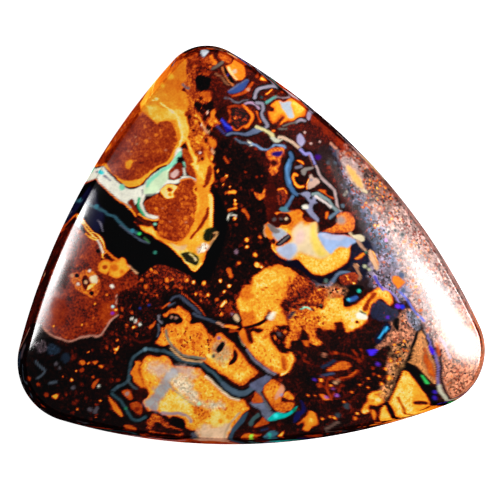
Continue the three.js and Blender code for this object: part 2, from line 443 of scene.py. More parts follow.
def paint_upper_nodules(c):
    """The two rust nodules, the white opal round them and the yellow flag below."""
    c.patch("rim of nodule 1", 0.8, "100,160 103,166 112,174 123,184 130,187 137,186.5 143,183 152,173 "
            "163,166 169,163 176,152 178,146 177,138 174,126 150,120 120,130 104,148")
    c.patch("white opal band", (255, 252, 232), "93,173 97,178 101,184 120,201 126,205 131,209 143,196 "
            "155,193 160,191 168,184 176,184 181,179 168,180 168,172 174,165 178,158 182,150 178,148 172,161 "
            "163,168 152,175 143,185 130,189 117,181 107,172 100,162", mottle=0.14)
    c.patch("green-cream part", (228, 252, 206), "145,186 156,176 166,168 170,172 166,182 156,192 145,195",
            soft=3)
    c.vein("outer amber border", AMBER, "93,174 99,182 114,197 127,206 132,211", width=1.8)
    c.spots("lilac spots", (170, 160, 200), "99,167,5")
    c.spots("cyan spot", CYAN, "102,173,4.4")
    c.vein("lilac-grey line", GREY_LILAC, "104,176 110,181")
    c.spots("mint spot", MINT, "122,187,6")
    c.vein("mint line", MINT, "181,152,3 177,158,5 172,164,4 160,172,3 150,181,4 147,186,3")
    c.vein("grey wisps", GREY, "142,190 142,196", width=1.2)
    c.vein("second grey wisp", GREY, "143,196 155,193", width=1.2)
    c.patch("dark notch", BLACK, "178,157 181,157 183,160 179,163 177,161")
    c.patch("ring nodule", RED_BROWN, "180,162 184,172 175,180 170,179 168,175 170,169")
    c.patch("its pale middle", (235, 190, 180), "171,174 177,169 179,172 176,176 173,178")
    c.vein("mint fleck", MINT, "184,162 186,167")
    c.vein("white line", WHITE, "184,168 185,175")
    c.vein("lower white line", WHITE, "182,178 187,177 192,178 196,181")
    c.patch("flag", 0.8, "134,222 139,226 142,231 155,237 170,248 185,262 190,268 195,271.5 199,268 204,261 "
            "209,246 213,240 213,227 213,198 210,190 215,177 213,170 214,165 209,158 207,150 203,160 196,163 "
            "193,170 196,180 197,200 194,220 188,234 176,244 160,240 152,226 147,229 141,226", mottle=0.09,
            stain=0.14)
    c.patch("lemon end of the flag", LEMON, "140,226 152,236 170,247 186,262 196,270 200,262 190,250 176,244 "
            "160,240 152,228", soft=3)
    c.patch("amber in the flag", 0.71, "198,186 206,190 208,206 204,222 198,230 196,212", soft=4, ragged=2)
    c.vein("pale strip", PALE_YELLOW, "210,196 211,208 211,225", width=4.5)
    c.vein("pale tip rim", 0.94, "183,259 189,266 195,271 202,263", width=1.8)
    c.vein("rust streak in the flag", 0.3, "208,208,2 206,217,3 201,225,3 191,238,2")
    c.patch("red-brown in the flag", RED_BROWN, "209,165 212,170 211,178 207,185 204,184 206,175",
            mottle=0.12)
    c.spots("deep red dot", DEEP_RED, "204,186,2.6")
    c.patch("peach by the flag", (240, 190, 130), "170,243 178,246 186,245 184,250 176,249", soft=2.4)
    c.patch("dark olive lens", (27, 26, 12), "181,254 187,252 193,253 198,257 199,262 196,265 186,261")
    c.vein("cream line in it", CREAM, "190,254 193,256 196,260", width=1.5)
    c.patch("dark olive spot", (15, 22, 8), "206,229 214,227 216,230 214,234 214,238 210,242 205,242 203,238")
    c.vein("tan rim", (224, 160, 96), "214,233 217,233 215,238 208,247")
    c.patch("white tip", WHITE, "200,245 204,243 207,246 206,250 198,254 197,250", soft=3, ragged=2,
            mottle=0.4, grit=0.7, strength=0.85)
    c.patch("red-brown patch", RUST, "183,148 190,152 194,158 191,163 194,170 196,178 190,176 186,170 "
            "185,162 182,155", mottle=0.15)
    c.vein("yellow drip", LEMON, "188,141 190,148 195,160 193,164", width=4.4)
    c.vein("lower yellow drip", LEMON, "195,167 203,178", width=4)
    c.spots("pale drip end", PALE_YELLOW, "197,167,4.6")
    c.vein("rim of nodule 2", 0.78, "181,181 190,179 195,184 194,190 198,197 198,206 195,216 193,226 187,237 "
           "182,241 172,242 162,239 156,232", width=3)
    c.patch("nodule 2", 0.4, "181,181 190,179 194,182 195,185 192,189 193,193 197,196 196,200 197,204 "
            "195,208 194,214 194,221 186,236 182,240 176,242 170,241 160,237 157,232 158,220 155,217 149,214 "
            "144,206 144,201 148,199 156,194 159,194 165,199 170,199.5 174,197 174,193 176,190", mottle=0.16,
            grit=0.35)
    c.patch("yellow bump", PALE_YELLOW, "160,192 163,187 168,184 178,186 174,193 174,198 166,199")
    c.spots("red-brown dot in it", RED_BROWN, "170,190,4.4")
    c.spots("orange dot in it", ORANGE, "170,195,3.4")
    c.vein("white line by nodule 2", WHITE, "143,196 141,202 142,208 145,213 150,216 157,218", width=3.5)
    c.vein("green line", (60, 190, 130), "139,198 138,204 140,210 144,215", width=2.6)
    c.patch("red-brown wedge", RED_BROWN, "131,199 134,202 138,213 137,216 134,212 131,207 128,203")
    c.vein("yellow line", YELLOW, "127,206 132,211 136,217")
    c.patch("deep red wedge", DEEP_RED, "138,218 151,222 152,225 147,225 141,222")
    c.vein("lower yellow line", YELLOW, "139,214 146,218 153,220 158,219")
    c.spots("mint dot", MINT, "155,224,2.4")
    c.patch("nodule 1", 0.385, "133,112 137,111 142,111 155,122 157,124.5 160,122 166,121 171,122 174,126 "
            "177,138 176,145 170,157 163,163 152,169 148,173 144,175 141,178 130,181 124,180 114,175 110,170 "
            "105,158 104,150 112,138 122,124", mottle=0.14, grit=0.3)
    c.patch("darker side of nodule 1", 0.3, "106,150 114,138 124,124 134,114 138,124 126,142 118,162 109,166",
            soft=8, ragged=3, strength=0.8)
    c.patch("amber fleck in nodule 1", 0.74, "126,162 129,160 133,160 130,168 126,168 125,165")
    c.spots("light grains", (214, 130, 90), "128,151,1.8 131,154,1.5 137,144,1.8 136,137,1.5 166,150,2 "
            "150,138,1.4 178,210,1.6 170,222,1.5 186,222,1.6 163,208,1.4")


def paint_potch(c):
    """The blue and green lines in the black band, and a painted navy sheen at its left end."""
    # Painted sheen: a navy tint on the black band beside the left lamp's reflection.
    c.patch("painted navy sheen at the end", (18, 18, 56), "88,192 95,190 98,205 104,214 98,232 88,224 84,208", soft=5,
            strength=0.8)
    c.vein("teal vein", (50, 92, 108), "88,203 91,206 103,211 109,215 115,217 126,228 137,233", width=2.6)
    c.spots("bright teal", (50, 125, 145), "96,207,4 132,231,4")
    c.vein("blue-grey vein", BLUE_GREY, "120,225 136,237 143,241 149,243", width=1.4)
    c.spots("green spot", GREEN, "139.5,234,2.6")
    c.vein("dim green line", (60, 110, 60), "144,238 149,242", width=1.6)
    c.spots("turquoise spot", (50, 130, 110), "155,252,3.2")
    c.vein("pale scratch", GREY_LILAC, "98,220 101,223 103,231", width=1.1)


def paint_left_nodule(c):
    """The large nodule on the left with its lobes, pale border and hollow of crystals."""
    c.patch("nodule 3", 0.29, "70,222 80,230 90,239 97,241 101,246 103,254 101,260 108,275 120,278 131,270 "
            "136,272 138,277 137,287 130,288.5 122,291 118,294 117,302 118,309 118,315 109,322 106,328 "
            "102,333 97,337 80,337.5 70,342 57,337 51,335 42,326 32,321 24,310 34,290 49,262 60,236",
            mottle=0.18, grit=0.2)
    c.patch("rust mottle", 0.4, "50,300 62,298 68,312 62,326 52,322", soft=8, ragged=4, strength=0.8)
    c.patch("second rust mottle", 0.42, "100,304 112,304 114,316 106,322 99,316", soft=6, ragged=3,
            strength=0.8)
    c.patch("dark mottle", 0.2, "56,262 66,256 72,268 66,284 54,290", soft=8, ragged=4, strength=0.7)
    c.patch("orange edge", 0.6, "73,208 76,210 76,214 80,215 85,221 81,222 76,217 71,219 70,214")
    c.vein("orange outer line", BROWN_ORANGE, "75,211 87,226", width=1.6)
    c.vein("cream border", CREAM, "77,216,3 83,222,5 88,229,5 94,235,5 100,239,4.5 103,244,4 104,250,4 "
           "103,257,3")
    c.vein("yellow edge of the border", PALE_YELLOW, "86,234 91,238 96,240")
    c.vein("dark hairline", BLACK, "84,224 90,231 98,238 102,243 104,250 104,257", width=1)
    c.vein("white line", WHITE, "98,241 101,246 103,253", width=1.6)
    c.vein("orange line to the lobes", ORANGE, "104,249 118,261", width=3)
    c.patch("left lobe", YELLOW, "100,262 104,259.5 109,260 111,263 110,270 107,274 104,274 98,271 98,266",
            stain=0.2)
    c.spots("its core", 0.5, "104.5,267,5")
    c.patch("right lobe", 0.82, "111,262 118,260 123,257 127,263 131,268 122,277 116,278 110,276 108,274 "
            "111,268", stain=0.2)
    c.spots("its orange side", 0.58, "115,268,7 122,272,4", soft=3)
    c.vein("peach line", PEACH, "128,265 137,273", width=1.3)
    c.vein("pale lower border", (214, 142, 120), "42,327 51,335 62,339 70,341.5 80,337.5 90,336 98,336.5 "
           "105,330 110,321 118,315", width=1.5)
    c.vein("pale side border", (220, 150, 125), "116.5,295 116.5,303", width=1.3)
    c.patch("crystal hollow", 0.57, "70,275 75,272 80,272 86,270 97,274 101,287 94,297 82,293 76,288 69,278",
            mottle=0.25, grit=0.3)
    c.patch("dark of the hollow", 0.2, "82,278 87,276 92,288 87,291 83,287")
    c.spots("dark dots of the hollow", BLACK, "77,275.5,4 92,293,4.4 84,281,3")
    c.spots("peach dot", PEACH, "72,276,3.4 86,282,3")
    c.patch("pale crystals", (252, 236, 190), "90,277 94,275 97,276 97,282 94,284 91,282")
    c.patch("lower pale crystals", PALE_YELLOW, "87,290 89,285 95,283 93,287 89,290")
    c.spots("white crystals", WHITE, "78,284,3 89,271,2.4 112,286.5,3.6")
    c.spots("cream grains", CREAM, "107,294.5,2.2 94.5,304,2 54,326,2 81.5,325,1.6 116,309.5,3")
    c.spots("black spot by the border", BLACK, "98,251,3.6")
    c.spots("pale cyan fleck", (190, 240, 240), "113,306.5,3")
    c.spots("violet fleck", (150, 40, 200), "113,313,2.6")
    c.spots("orange-brown spot", 0.55, "79,232,4")


def paint_left_grit(c):
    """The black grit with scattered grains, in the lower left and across the middle."""
    c.patch("fine grit of the corner", 0.02, "50,366 62,352 84,346 108,352 118,372 116,408 98,424 74,416 "
            "58,398", soft=9, ragged=5, mottle=0.06, grit=0.42)
    c.patch("navy side of the corner", 0, "33,338 48,336 62,350 58,380 50,400 36,394 28,372", soft=8,
            ragged=4, mottle=0.03, grit=0.25)
    c.patch("slate blob", (32, 48, 66), "47,346 53,344 58,346 60,351 56,355 51,355 48,352", soft=3, ragged=2,
            grit=0.3)
    c.patch("slate fleck", (26, 38, 54), "63,355 67,354 69,358 66,363 63,360", soft=3, ragged=2)
    # Painted highlight: a speckled grey-pink patch where the left lamp's reflection ends on the black corner.
    c.patch("painted speckled edge of the highlight", (104, 84, 92), "36,342 42,341 47,347 44,352 38,351", soft=3,
            ragged=3, grit=1, strength=0.7)
    c.spots("brown grains of the corner", 0.26, "74,357,6 74,403,5 73,413,4 92,350,3 107,414,3 112,408,3 "
            "104,420,3 82,392,2.6 86,398,2.4")
    c.spots("pale grains of the corner", 0.9, "77,409.5,2.8 100,401,2.2 88,352,2 63,377,2 96,417,2 115,353,2")
    c.spots("mauve grains of the corner", (84, 76, 84), "90,409.5,4 95,411,4.6 97,408.5,4 56,364,3.4 "
            "73,388,4 60,368,3")
    c.vein("slate streaks", (70, 80, 92), "35,361 41,367 45,372 37,378")
    c.vein("short slate streak", (70, 80, 92), "50,383 56,382", width=2.4)
    c.spots("rust grains", 0.42, "28,379,6 38,384,4 46,395,5 82,370,5 147,300,2.4")
    c.patch("amber grain", 0.85, "51,396 58,394 56,400")
    c.spots("dark red grains", 0.3, "118,380,5 228,310,7")
    c.patch("orange grain chip", 0.6, "79,361 83,359.5 86,362 83,365 80,364.5")
    c.patch("second orange chip", 0.6, "93,361.5 98,361 97,364.5 94,365")
    c.patch("third orange chip", 0.62, "98,366 104,365 103,368.5 100,368.5")
    c.spots("orange grains", 0.6, "93,377,3 157,295,3.2 146,287,5 217,300,4 226,193,3")
    c.spots("cream grains", CREAM, "88.5,363,2.6 77,371,2.4 72,380,3.2 117,340,2.2 133.5,327,3.4 196,294,3 "
            "220,281,3.6 224,292,3 229,286,4 208,295,3.2 194,282,4 247,247,3.4 262,267,3.2")
    c.spots("white grains", WHITE, "99,386.5,2.6 136,321,3.2 131.5,319,3.2 140,324,2.8")
    c.patch("orange-rust grain", BROWN_ORANGE, "92,388 93,383 97,379 100,380 94,389")
    c.patch("cream chip", CREAM, "113,347 116,348 119,346 117,352 114,350")
    c.spots("blue and slate grains", (40, 50, 140), "149,305,2.2 140,308,2.4")
    c.spots("yellow grains", 0.86, "204,283,4.6 257,265,6 255,255,4.6 247,240,5")
    c.spots("peach grains", 0.66, "239,263,4.4 260,237,4.4")
    c.vein("large orange grain", 0.56, "229,270 231,276", width=5)
    c.vein("cream sliver", CREAM, "221,306 225,302", width=3)
    c.patch("tan chip", (235, 195, 150), "233,318 236,314 239,319 238,322")
    c.spots("mauve grain", (150, 110, 130), "236,252,3.6 232,314,2.6")
    c.vein("faint arcs", 0.2, "130,338 140,342 150,340", width=3)
    c.spots("cream grains of the column", CREAM, "235,200,3.4 218,171,2.4 226.5,176,3 223,185,2.2 230,187,2 "
            "234.5,218,3.8")
    c.spots("yellow grains of the column", 0.84, "235,204,4.4")
    c.vein("orange-cream grain", 0.8, "229,193 235,192", width=4)
    c.vein("long orange-cream grain", 0.78, "228,210 236,208", width=2.4)
    c.vein("ring arc", WHITE, "228,219 229,215.5 233,214.5 236,216", width=1.4)
    c.spots("ring middle", BLACK, "231,218,2.4")
    c.spots("rust grains of the column", 0.42, "223,180,5 214,165,4")
    c.vein("orange stroke of the column", 0.54, "224,158 228,163", width=3)
    c.patch("rust chip", 0.54, "241,210 244,208 248,212 250,217 248,220 245,215")
    c.spots("red spots", 0.32, "256,149,3.4 257,177,3 262,176,2.4 252,190,3 245,172,3")


def paint_upper_right(c):
    """The patches and veins between the tip and the right-hand grit."""
    c.patch("banded patch", 0.78, "270,106 274,102 279,100 282,102 286,101 289,98 294,98 299,100 307,106 "
            "306,110 305,115 301,117 293,121 288,121 284,122 281,125 279,125 281,121 284,118 281,116 273,123 "
            "270,117 268,113 269,111 273,111 273,108", stain=0.16)
    c.patch("its grey-blue stripe", (185, 195, 205), "279,102 283,103 291,101 291,106 294,116 290,118 "
            "286,114")
    c.patch("its pale end", 0.87, "292,101 298,101 303,105 304,110 299,113 295,111")
    c.vein("its rim", 0.58, "269,111 270,118 273,123 282,116", width=1.6)
    c.vein("its lower rim", 0.55, "306,108 305,115 298,119 289,121.5", width=1.4)
    c.patch("lilac streak", (170, 150, 175), "309,110 312,112 309,120 307,118")
    c.vein("lilac line under it", (160, 146, 160), "296,122 300,120 305,121", width=2.6, border=1.2)
    c.vein("grey line", (112, 106, 98), "279,129 286,129", width=1.6)
    c.vein("upper grey line", (112, 106, 98), "283,126 296,122", width=1.6)
    c.patch("lilac drop", (176, 166, 202), "300,133 305,141 301,147 297,138")
    c.spots("small pale grains", (215, 170, 160), "305,132,2.4 319,117,2.4 311,143,2 320,142,2")
    c.patch("cream vein head", (205, 205, 180), "271,137 281,139 284,139 279,142 274,142")
    c.vein("peach vein", (228, 190, 160), "279,137 284,138 296,145 301,150", width=2.8)
    c.vein("lilac-blue vein", (150, 142, 210), "301,150 305,154 310,154 313,159 316,166", width=2.8,
           border=1.2)
    c.vein("pink-grey vein", (198, 168, 165), "316,166 319,173 324,180 333,189 335,193 338,209 341,212",
           width=2.4, border=1.2)
    c.vein("brown line beside it", (150, 95, 85), "309,155 313,167", width=1.3)
    c.spots("violet glow", (60, 0, 120), "318,157,5", soft=3)
    c.vein("pink grain", (225, 150, 120), "331,143 336,148", width=2.5)
    c.vein("grey-pink grain", (140, 110, 112), "337.5,151 338.5,158", width=3)
    c.spots("blue-grey spots", (90, 108, 122), "329,162,4 335,163,3.6 343,206,4")
    c.patch("orange piece left of the blue vein", 0.6, "266,152 272,148 282,147 285,151 281,158 280,166 "
            "277,173 273,176 269,170 271,162 267,157", mottle=0.3, stain=0.1, cloud=0.16)
    c.spots("its dark middle", 0.16, "274,163,6", soft=3)
    c.patch("navy fleck in it", (34, 14, 110), "272,154 277,151 283,151 281,155 276,156")
    c.patch("orange blob below it", 0.62, "254,192 260,193 265,189 264,197 260,200 256,197", mottle=0.2)
    c.patch("red piece with a pale edge", 0.34, "278,190 284,188 287,194 285,202 280,205 277,198",
            mottle=0.25)
    c.vein("its pale edge", 0.8, "278,190 284,188 287,193", width=1.4)
    c.vein("blue vein", STEEL_BLUE, "290,153,2.4 292,158,4 289,163,5 287,177,5 293,190,4 297,194,3.4",
           border=1.6)
    c.vein("bright line in it", (96, 150, 205), "289,160 287,168 287,175 290,183")
    c.vein("branch of it", (80, 120, 160), "293,196 286,207 283,209", width=3)
    c.patch("teal-grey patch", (85, 140, 155), "280,209 283,207 287,207 288,210 294,211 300,210 298,212 "
            "290,213 283,212")
    c.patch("lilac-grey web", (150, 150, 182), "297,193 301,193 307,192 312,194 319,197 316,200 317,203 "
            "313,204 312,208 314,213 319,219 318,222 315,220 311,217 305,209 303,208 308,205 309,202 302,195")
    c.spots("dark gaps of the web", BLACK, "311,198,3 306,201,2.6 314,208,2.4")
    c.patch("cream tip of the web", WHITE, "302,206 307,205 308,209 303,209")
    c.vein("grey-teal band", (130, 150, 150), "313,194 318,193 323,197 329,201 333,207 337,211", width=3,
           border=1.2)
    c.vein("pale line under it", (232, 215, 210), "316,196 331,207", width=2.4)
    c.patch("orange streak", 0.55, "317,190 322,189 326,190 327,194 335,199 334,200 329,198 322,192")
    c.patch("peach piece", (220, 180, 160), "311,174 314,178 317,178 320,181 318,184 311,189 307,189 307,185")
    c.spots("its grey middle", (150, 140, 150), "311.5,180,3.4")
    c.vein("its cream side", CREAM, "307,189 307,184 309,179", width=1.6)
    c.patch("amber grain", 0.78, "296,161 300,160 303,162 304,165")
    c.vein("grey-lilac grain", (120, 115, 132), "296,168 301,167", width=3)
    c.patch("grey-brown piece", (142, 132, 126), "301,171 305,168 312,167 313,169 307,171 305,175 302,174")
    c.vein("curled piece", 0.82, "297,175 294,174 293,178 295,183 299,187 303,187", width=3)
    c.vein("dark line in it", BLACK, "297,178 298,182 302,184", width=1.6)
    c.vein("slate arc", (110, 130, 150), "330,218 334,214 339,212", width=3)
    c.patch("orange fleck", 0.62, "326,212 329,212 328,219 325,218")
    c.vein("tan stroke", (215, 180, 140), "349,229 350,233 352,236", width=3)
    c.vein("white comma", WHITE, "345,195 347,192", width=3)
    c.spots("navy dot", NAVY, "350,191,4")
    c.vein("plum line", (46, 20, 18), "330,160,6 336,172,8 343,188,8 360,217,8 367,232,8 373,244,6", soft=5,
           ragged=2.5, strength=0.8, grit=0.5, mottle=0.2)
    c.vein("slate edge", (56, 66, 88), "331,146,3 344,172,5", soft=4, ragged=3, grit=0.7, strength=0.8)
    c.vein("blue-grey edge", (96, 108, 140), "343,170,5 350,184,7 370,217,11 379,235,14 387,252,14 "
           "394,270,12", soft=8, ragged=5, strength=0.9, grit=0.95, mottle=0.35, cloud=0.25)
    c.vein("cream spot", (240, 215, 170), "361,189 366,192", width=3)
    c.spots("ring spot", 0.56, "348,155,7", strength=0.7, soft=3)
    c.spots("ring spot middle", 0.2, "348,156,2.4", strength=0.7)
    # Painted shade: a dark rim along the outline, where the edge turns down to the wall.
    c.vein("dark brown rim", 0.22, "352,148 385,180 394,193", width=3)


def paint_heart(c):
    """The pale opal patch right of the middle."""
    c.patch("black under the heart", (8, 5, 24), "274,252 287,261 299,261 313,276 324,278 331,273 348,263 "
            "351,255 352,244 356,243 358,249 355,256 354,262 349,268 342,272 333,281 325,285 316,284 304,272 "
            "286,264 276,258", ragged=0.6)
    c.patch("yellow base", 0.82, "275,213 283,212 292,211 299,209 303,213 302,217 305,220 311,222 315,221 "
            "318,224 317,230 319,233 335,234 350,236 354,240 352,244 349,259 346,263 334,271 323,276 317,275 "
            "312,274 307,269 299,261 293,260 286,260 279,257 272,248 271,245 275,243 274,239 270,239 266,236 "
            "264,231 265,226 268,223 272,224", mottle=0.12, stain=0.2, grit=0.15, cloud=0.08)
    c.patch("lower yellow", LEMON, "300,254 314,258 326,258 336,252 347,248 349,258 340,266 328,273 316,274 "
            "306,267", soft=5, mottle=0.12, grit=0.15)
    c.patch("orange shoulder", 0.67, "275,213 283,212 292,211 299,209 303,212 301,217 304,221 299,225 "
            "290,232 287,228 290,224 292,219 290,214 285,213 279,215", soft=4, ragged=1.5, mottle=0.14)
    c.patch("left lobe", 0.66, "264,229 268,222 271,225 273,230 276,233 272,239 268,238 265,234")
    c.vein("peach rim of the lobe", PEACH, "265,226 264,231 266,236", width=1.6)
    c.patch("cream heart", (248, 220, 172), "293,230 301,223 305,226 310,225 315,222 317,226 318,240 322,247 "
            "328,254 322,258 314,257 306,254 300,252 296,256 290,259 287,256 283,250 284,246 289,243 293,238",
            soft=5, mottle=0.05)
    c.patch("yellow side of the heart", (255, 220, 100), "311,226 316,224 317,234 320,244 327,253 322,257 "
            "314,252 311,240", soft=6)
    c.patch("pink in the heart", (245, 205, 190), "297,232 303,230 304,240 298,245 294,240", soft=7)
    c.patch("blue-white lower left", (190, 202, 230), "277,250 281,246 293,243 297,247 297,252 293,256 "
            "288,260 279,254", soft=4)
    c.patch("pale blue right", (166, 192, 236), "319,233 326,233 345,236 352,238 357,242 351,245 347,248 "
            "340,246 335,250 331,254 326,250 319,239", soft=2.4)
    c.patch("lilac top of it", (196, 200, 228), "322,234 334,235 346,237 342,240 332,240 324,238", soft=2.4)
    c.patch("orange lobe above it", 0.66, "322,232 330,228 338,222 336,216 342,212 350,213 355,220 354,228 "
            "350,232 340,233", grit=0.3, mottle=0.2, stain=0.15)
    c.spots("its grey-pink middle", (178, 150, 142), "341,220,8", soft=5, mottle=0.3)
    c.patch("blue-grey beside the heart", (176, 184, 200), "274,229 280,229 285,232 289,235 285,240 279,241 "
            "273,236", soft=3, mottle=0.2)
    c.patch("maroon lens", 0.25, "303,218 307,216 316,221 312,222 306,221")
    c.patch("maroon ring", 0.18, "270,224 268,218 272,212 277,215 281,213 287,213 291,217 291,222 287,225 "
            "282,225 278,228 273,227", ragged=0.3)
    c.spots("pale glint in it", (240, 205, 160), "286.5,218.3,3.2")
    c.spots("grey glint in it", (86, 74, 74), "281.5,219,3.4 274.5,219.5,4")
    c.spots("black middle of it", BLACK, "282,221,2.6")
    c.patch("grey top of the lobe", (128, 118, 116), "267,225 270,224 276,228 280,232 275,234 270,230")
    c.vein("orange arc under it", ORANGE, "282,227 288,227 293,222", width=1.6)
    c.patch("second dark oval", 0.08, "276,244 279,240 284,237 288,234 291,236 290,240 281,246 277,246")
    c.vein("grey streak in it", (112, 102, 104), "279,244 285,240 289,236", width=1.8)
    c.vein("orange rim of it", 0.6, "291,238 287,243 282,246.5", width=1.4)
    c.vein("pale left edge", 0.9, "272,244 273,249 276,253")
    c.vein("red-orange edge", 0.55, "276,254 281,258 286,260.5", width=1.6)
    c.vein("slate arc below", (100, 120, 150), "313,282,3 318,285,4 325,286,4 331,284,4 338,274,3 343,272,3 "
           "349,272,2", border=1.2)
    c.spots("teal-green spot", (90, 120, 110), "326,281,4")


def paint_right_edge(c):
    """The grains in the pink grit and in the plum band."""
    c.patch("navy ground right of the heart", (22, 24, 44), "354,244 362,238 370,242 376,256 372,268 367,277 "
            "360,280 354,276 350,262", soft=4, ragged=2, mottle=0.05, grit=0.3)
    c.patch("lilac ground below it", (138, 122, 144), "374,254 382,252 393,262 403,276 411,292 404,301 "
            "394,297 384,290 376,288 370,281 369,270", soft=6, ragged=4, mottle=0.3, grit=0.8, cloud=0.2)
    c.patch("tan finger", (240, 185, 140), "369,251 372,250 375,255 378,262 379,268 376,270 373,265 370,258")
    c.vein("cream side of it", CREAM, "373,251 379,265", width=1.5)
    c.patch("cream finger", (240, 220, 180), "352,236 358,234 362,235 364,239 361,242")
    c.vein("peach line", (200, 150, 120), "357,241 366,251", width=2.6)
    c.patch("peach triangle", 0.7, "354,259 358,256 362,252 365,254 362,258 357,260")
    c.spots("green dot", (60, 120, 90), "366,252,2.6")
    c.spots("cream-green grains", (200, 200, 160), "365,266,3.6 369,269,3")
    c.patch("brown field", 0.33, "340,276 352,272 358,276 356,283 348,285 341,284", grit=0.5, mottle=0.2)
    c.spots("its cream dots", CREAM, "348,279,2.4 354,283,2.4 346.5,276,2")
    c.spots("peach dot", PEACH, "356,266,4")
    c.vein("peach-brown band", (180, 120, 85), "355,265 360,275 359,279", width=2.8)
    c.patch("black hollow", BLACK, "343,292 349,287 356,285 362,285 364,289 358,295 355,300 349,305 346,306 "
            "343,302")
    c.spots("green flash", (50, 230, 200), "359,291,3.4")
    c.patch("blue-teal flash", (50, 90, 165), "347,299 355,296 358,297 355,300 350,302")
    c.spots("cyan end", (60, 200, 230), "349,299.5,2.8")
    c.spots("dark ovals", (40, 50, 48), "389,232,3.4 395,231,3.4 402,235,4.4")
    c.spots("orange dots", 0.6, "404,242,4 411,245,4.4 421,291,3 430,303,3.4 421,310,3.6 413,280,4 "
            "420,300,3.4 384,262,3 390,222,3")
    c.spots("pink-violet dot", (220, 160, 220), "386,240,4")
    c.patch("navy right of F", (24, 28, 58), "374,300 379,299 393,308 399,312 396,320 385,322 374,318 "
            "370,310", soft=3, ragged=1.5, grit=0.3, mottle=0.2)
    c.vein("pale ground of the streak", (188, 158, 152), "345,160,8 354,173,15 361,186,8", soft=4, ragged=2,
           mottle=0.3, grit=0.3)
    c.vein("orange-cream streak", (250, 185, 90), "348,167,3 353,174,7 358,181,7 362,187,3", soft=4,
           mottle=0.2)
    c.spots("cream blobs", CREAM, "375,225,3.4 392,219,3 366,203,3")
    c.spots("orange ring", 0.6, "380,209,6", strength=0.7, soft=3)
    c.spots("ring middle", (235, 205, 180), "380,209,2.6")
    c.patch("large orange grain", 0.68, "392,280 394,276 398,276 402,279 405,283 398,289 395,286")
    c.spots("slate spots", (85, 100, 135), "402,275,6 403,290,6")
    c.spots("orange-yellow grains", 0.78, "416,287,4.4 419,293,3 408,268,3 426,284,3")
    c.vein("brown rim", 0.48, "396,195 408,208 420,223 445,262 458,286 470,312 480,342 483,366 476,384",
           width=2.6, mottle=0.25, grit=0.3)
    c.vein("dark part of the rim", 0.2, "430,238 446,265", width=3)


def paint_right_veins(c):
    """The violet, blue and black veins that run down the right-hand side."""
    c.vein("violet-blue vein", (84, 72, 200), "375,277 383,290")
    c.vein("lilac vein", (160, 140, 225), "383,289 389,291 395,296 400,302", width=1.6)
    c.vein("blue-lilac vein", (104, 116, 225), "400,292 405,297 414,310 424,321")
    c.spots("violet flash", (110, 40, 240), "398,306,4.4")
    c.spots("blue flash", (25, 45, 222), "402,306.5,4.4")
    c.spots("violet dots", (90, 40, 190), "388,317,3.6 314.5,380,3 378,364,3")
    c.vein("black dividing line", BLACK, "420,327,3 416,335,3 410,353,3 406,362,4 401,368,5 395,385,3 "
           "387,400,5")
    c.patch("orange patch P", (226, 144, 78), "411,360 413,352 418,337 421,331 424,336 431,356 434,362 "
            "436,374 437,380 434,384 430,380 418,367 409,362", mottle=0.16, stain=0.14, grit=0.3)
    c.patch("rust side of it", 0.5, "424,348 434,368 436,380 430,376 424,364", soft=4, ragged=1.5)
    c.patch("black band below it", BLACK, "405,366 410,364 421,373 425,380 430,386 436,388 437,394 436,402 "
            "431,408 429,400 424,391 417,383 411,374 404,369 400,371 402,366")
    c.patch("lower part of the wedge", (196, 134, 76), "393,348 408,344 404,360 398,372 390,390 384,398 "
            "380,392 390,376", soft=6, ragged=4, mottle=0.4, grit=1, strength=0.8, cloud=0.3)
    c.patch("slate top of the wedge", (112, 112, 132), "407,311 415,313 421,323 415,330 409,322", soft=4,
            ragged=2, mottle=0.3, grit=0.8)
    c.spots("brown hollows of the wedge", 0.1, "393,356,4 396,366,3.4 386,383,4 400,340,3 384,372,4 "
            "403,330,3", soft=3, ragged=2)
    c.spots("tan grains of the wedge", 0.86, "404,341,3 398,351,3.6 391,361,4 386,369,3 399,360,3 "
            "394,345,2.4 406,350,3 379,376,3 389,378,4 382,384,3", soft=2, ragged=2)
    c.vein("green fleck", (60, 220, 100), "422,376 427,383", width=2.5)
    c.vein("violet-grey vein", (120, 105, 170), "428,335 432,350 435,355 438,367 438,383 440,388", width=2.4)
    c.patch("deep violet lens", (60, 0, 220), "430,346 433,349 434,354 431,354 429,349")
    c.vein("black-plum line", (20, 8, 22), "441,350 442,382 450,399", width=3)
    c.vein("grey-cream tail", (200, 195, 170), "439,386 441,392 449,402", width=3.6)
    c.patch("rust wedge", 0.5, "436,343 439,347 441,354 439,357 436,352")
    c.vein("lilac-cream vein", (215, 190, 205), "440,338 445,345 450,358", width=2.6)
    c.patch("dark block", BLACK, "394,320 399,318 399,330 396,331 393,326")
    c.vein("navy round the flash", NAVY, "379,340 382,334 388,327", width=8)
    c.vein("cyan-blue flash", (60, 190, 255), "380,338 382,334 387,328", width=2.2)
    c.spots("blue-violet spots", (60, 30, 190), "435,392,3.6 435,398,4")


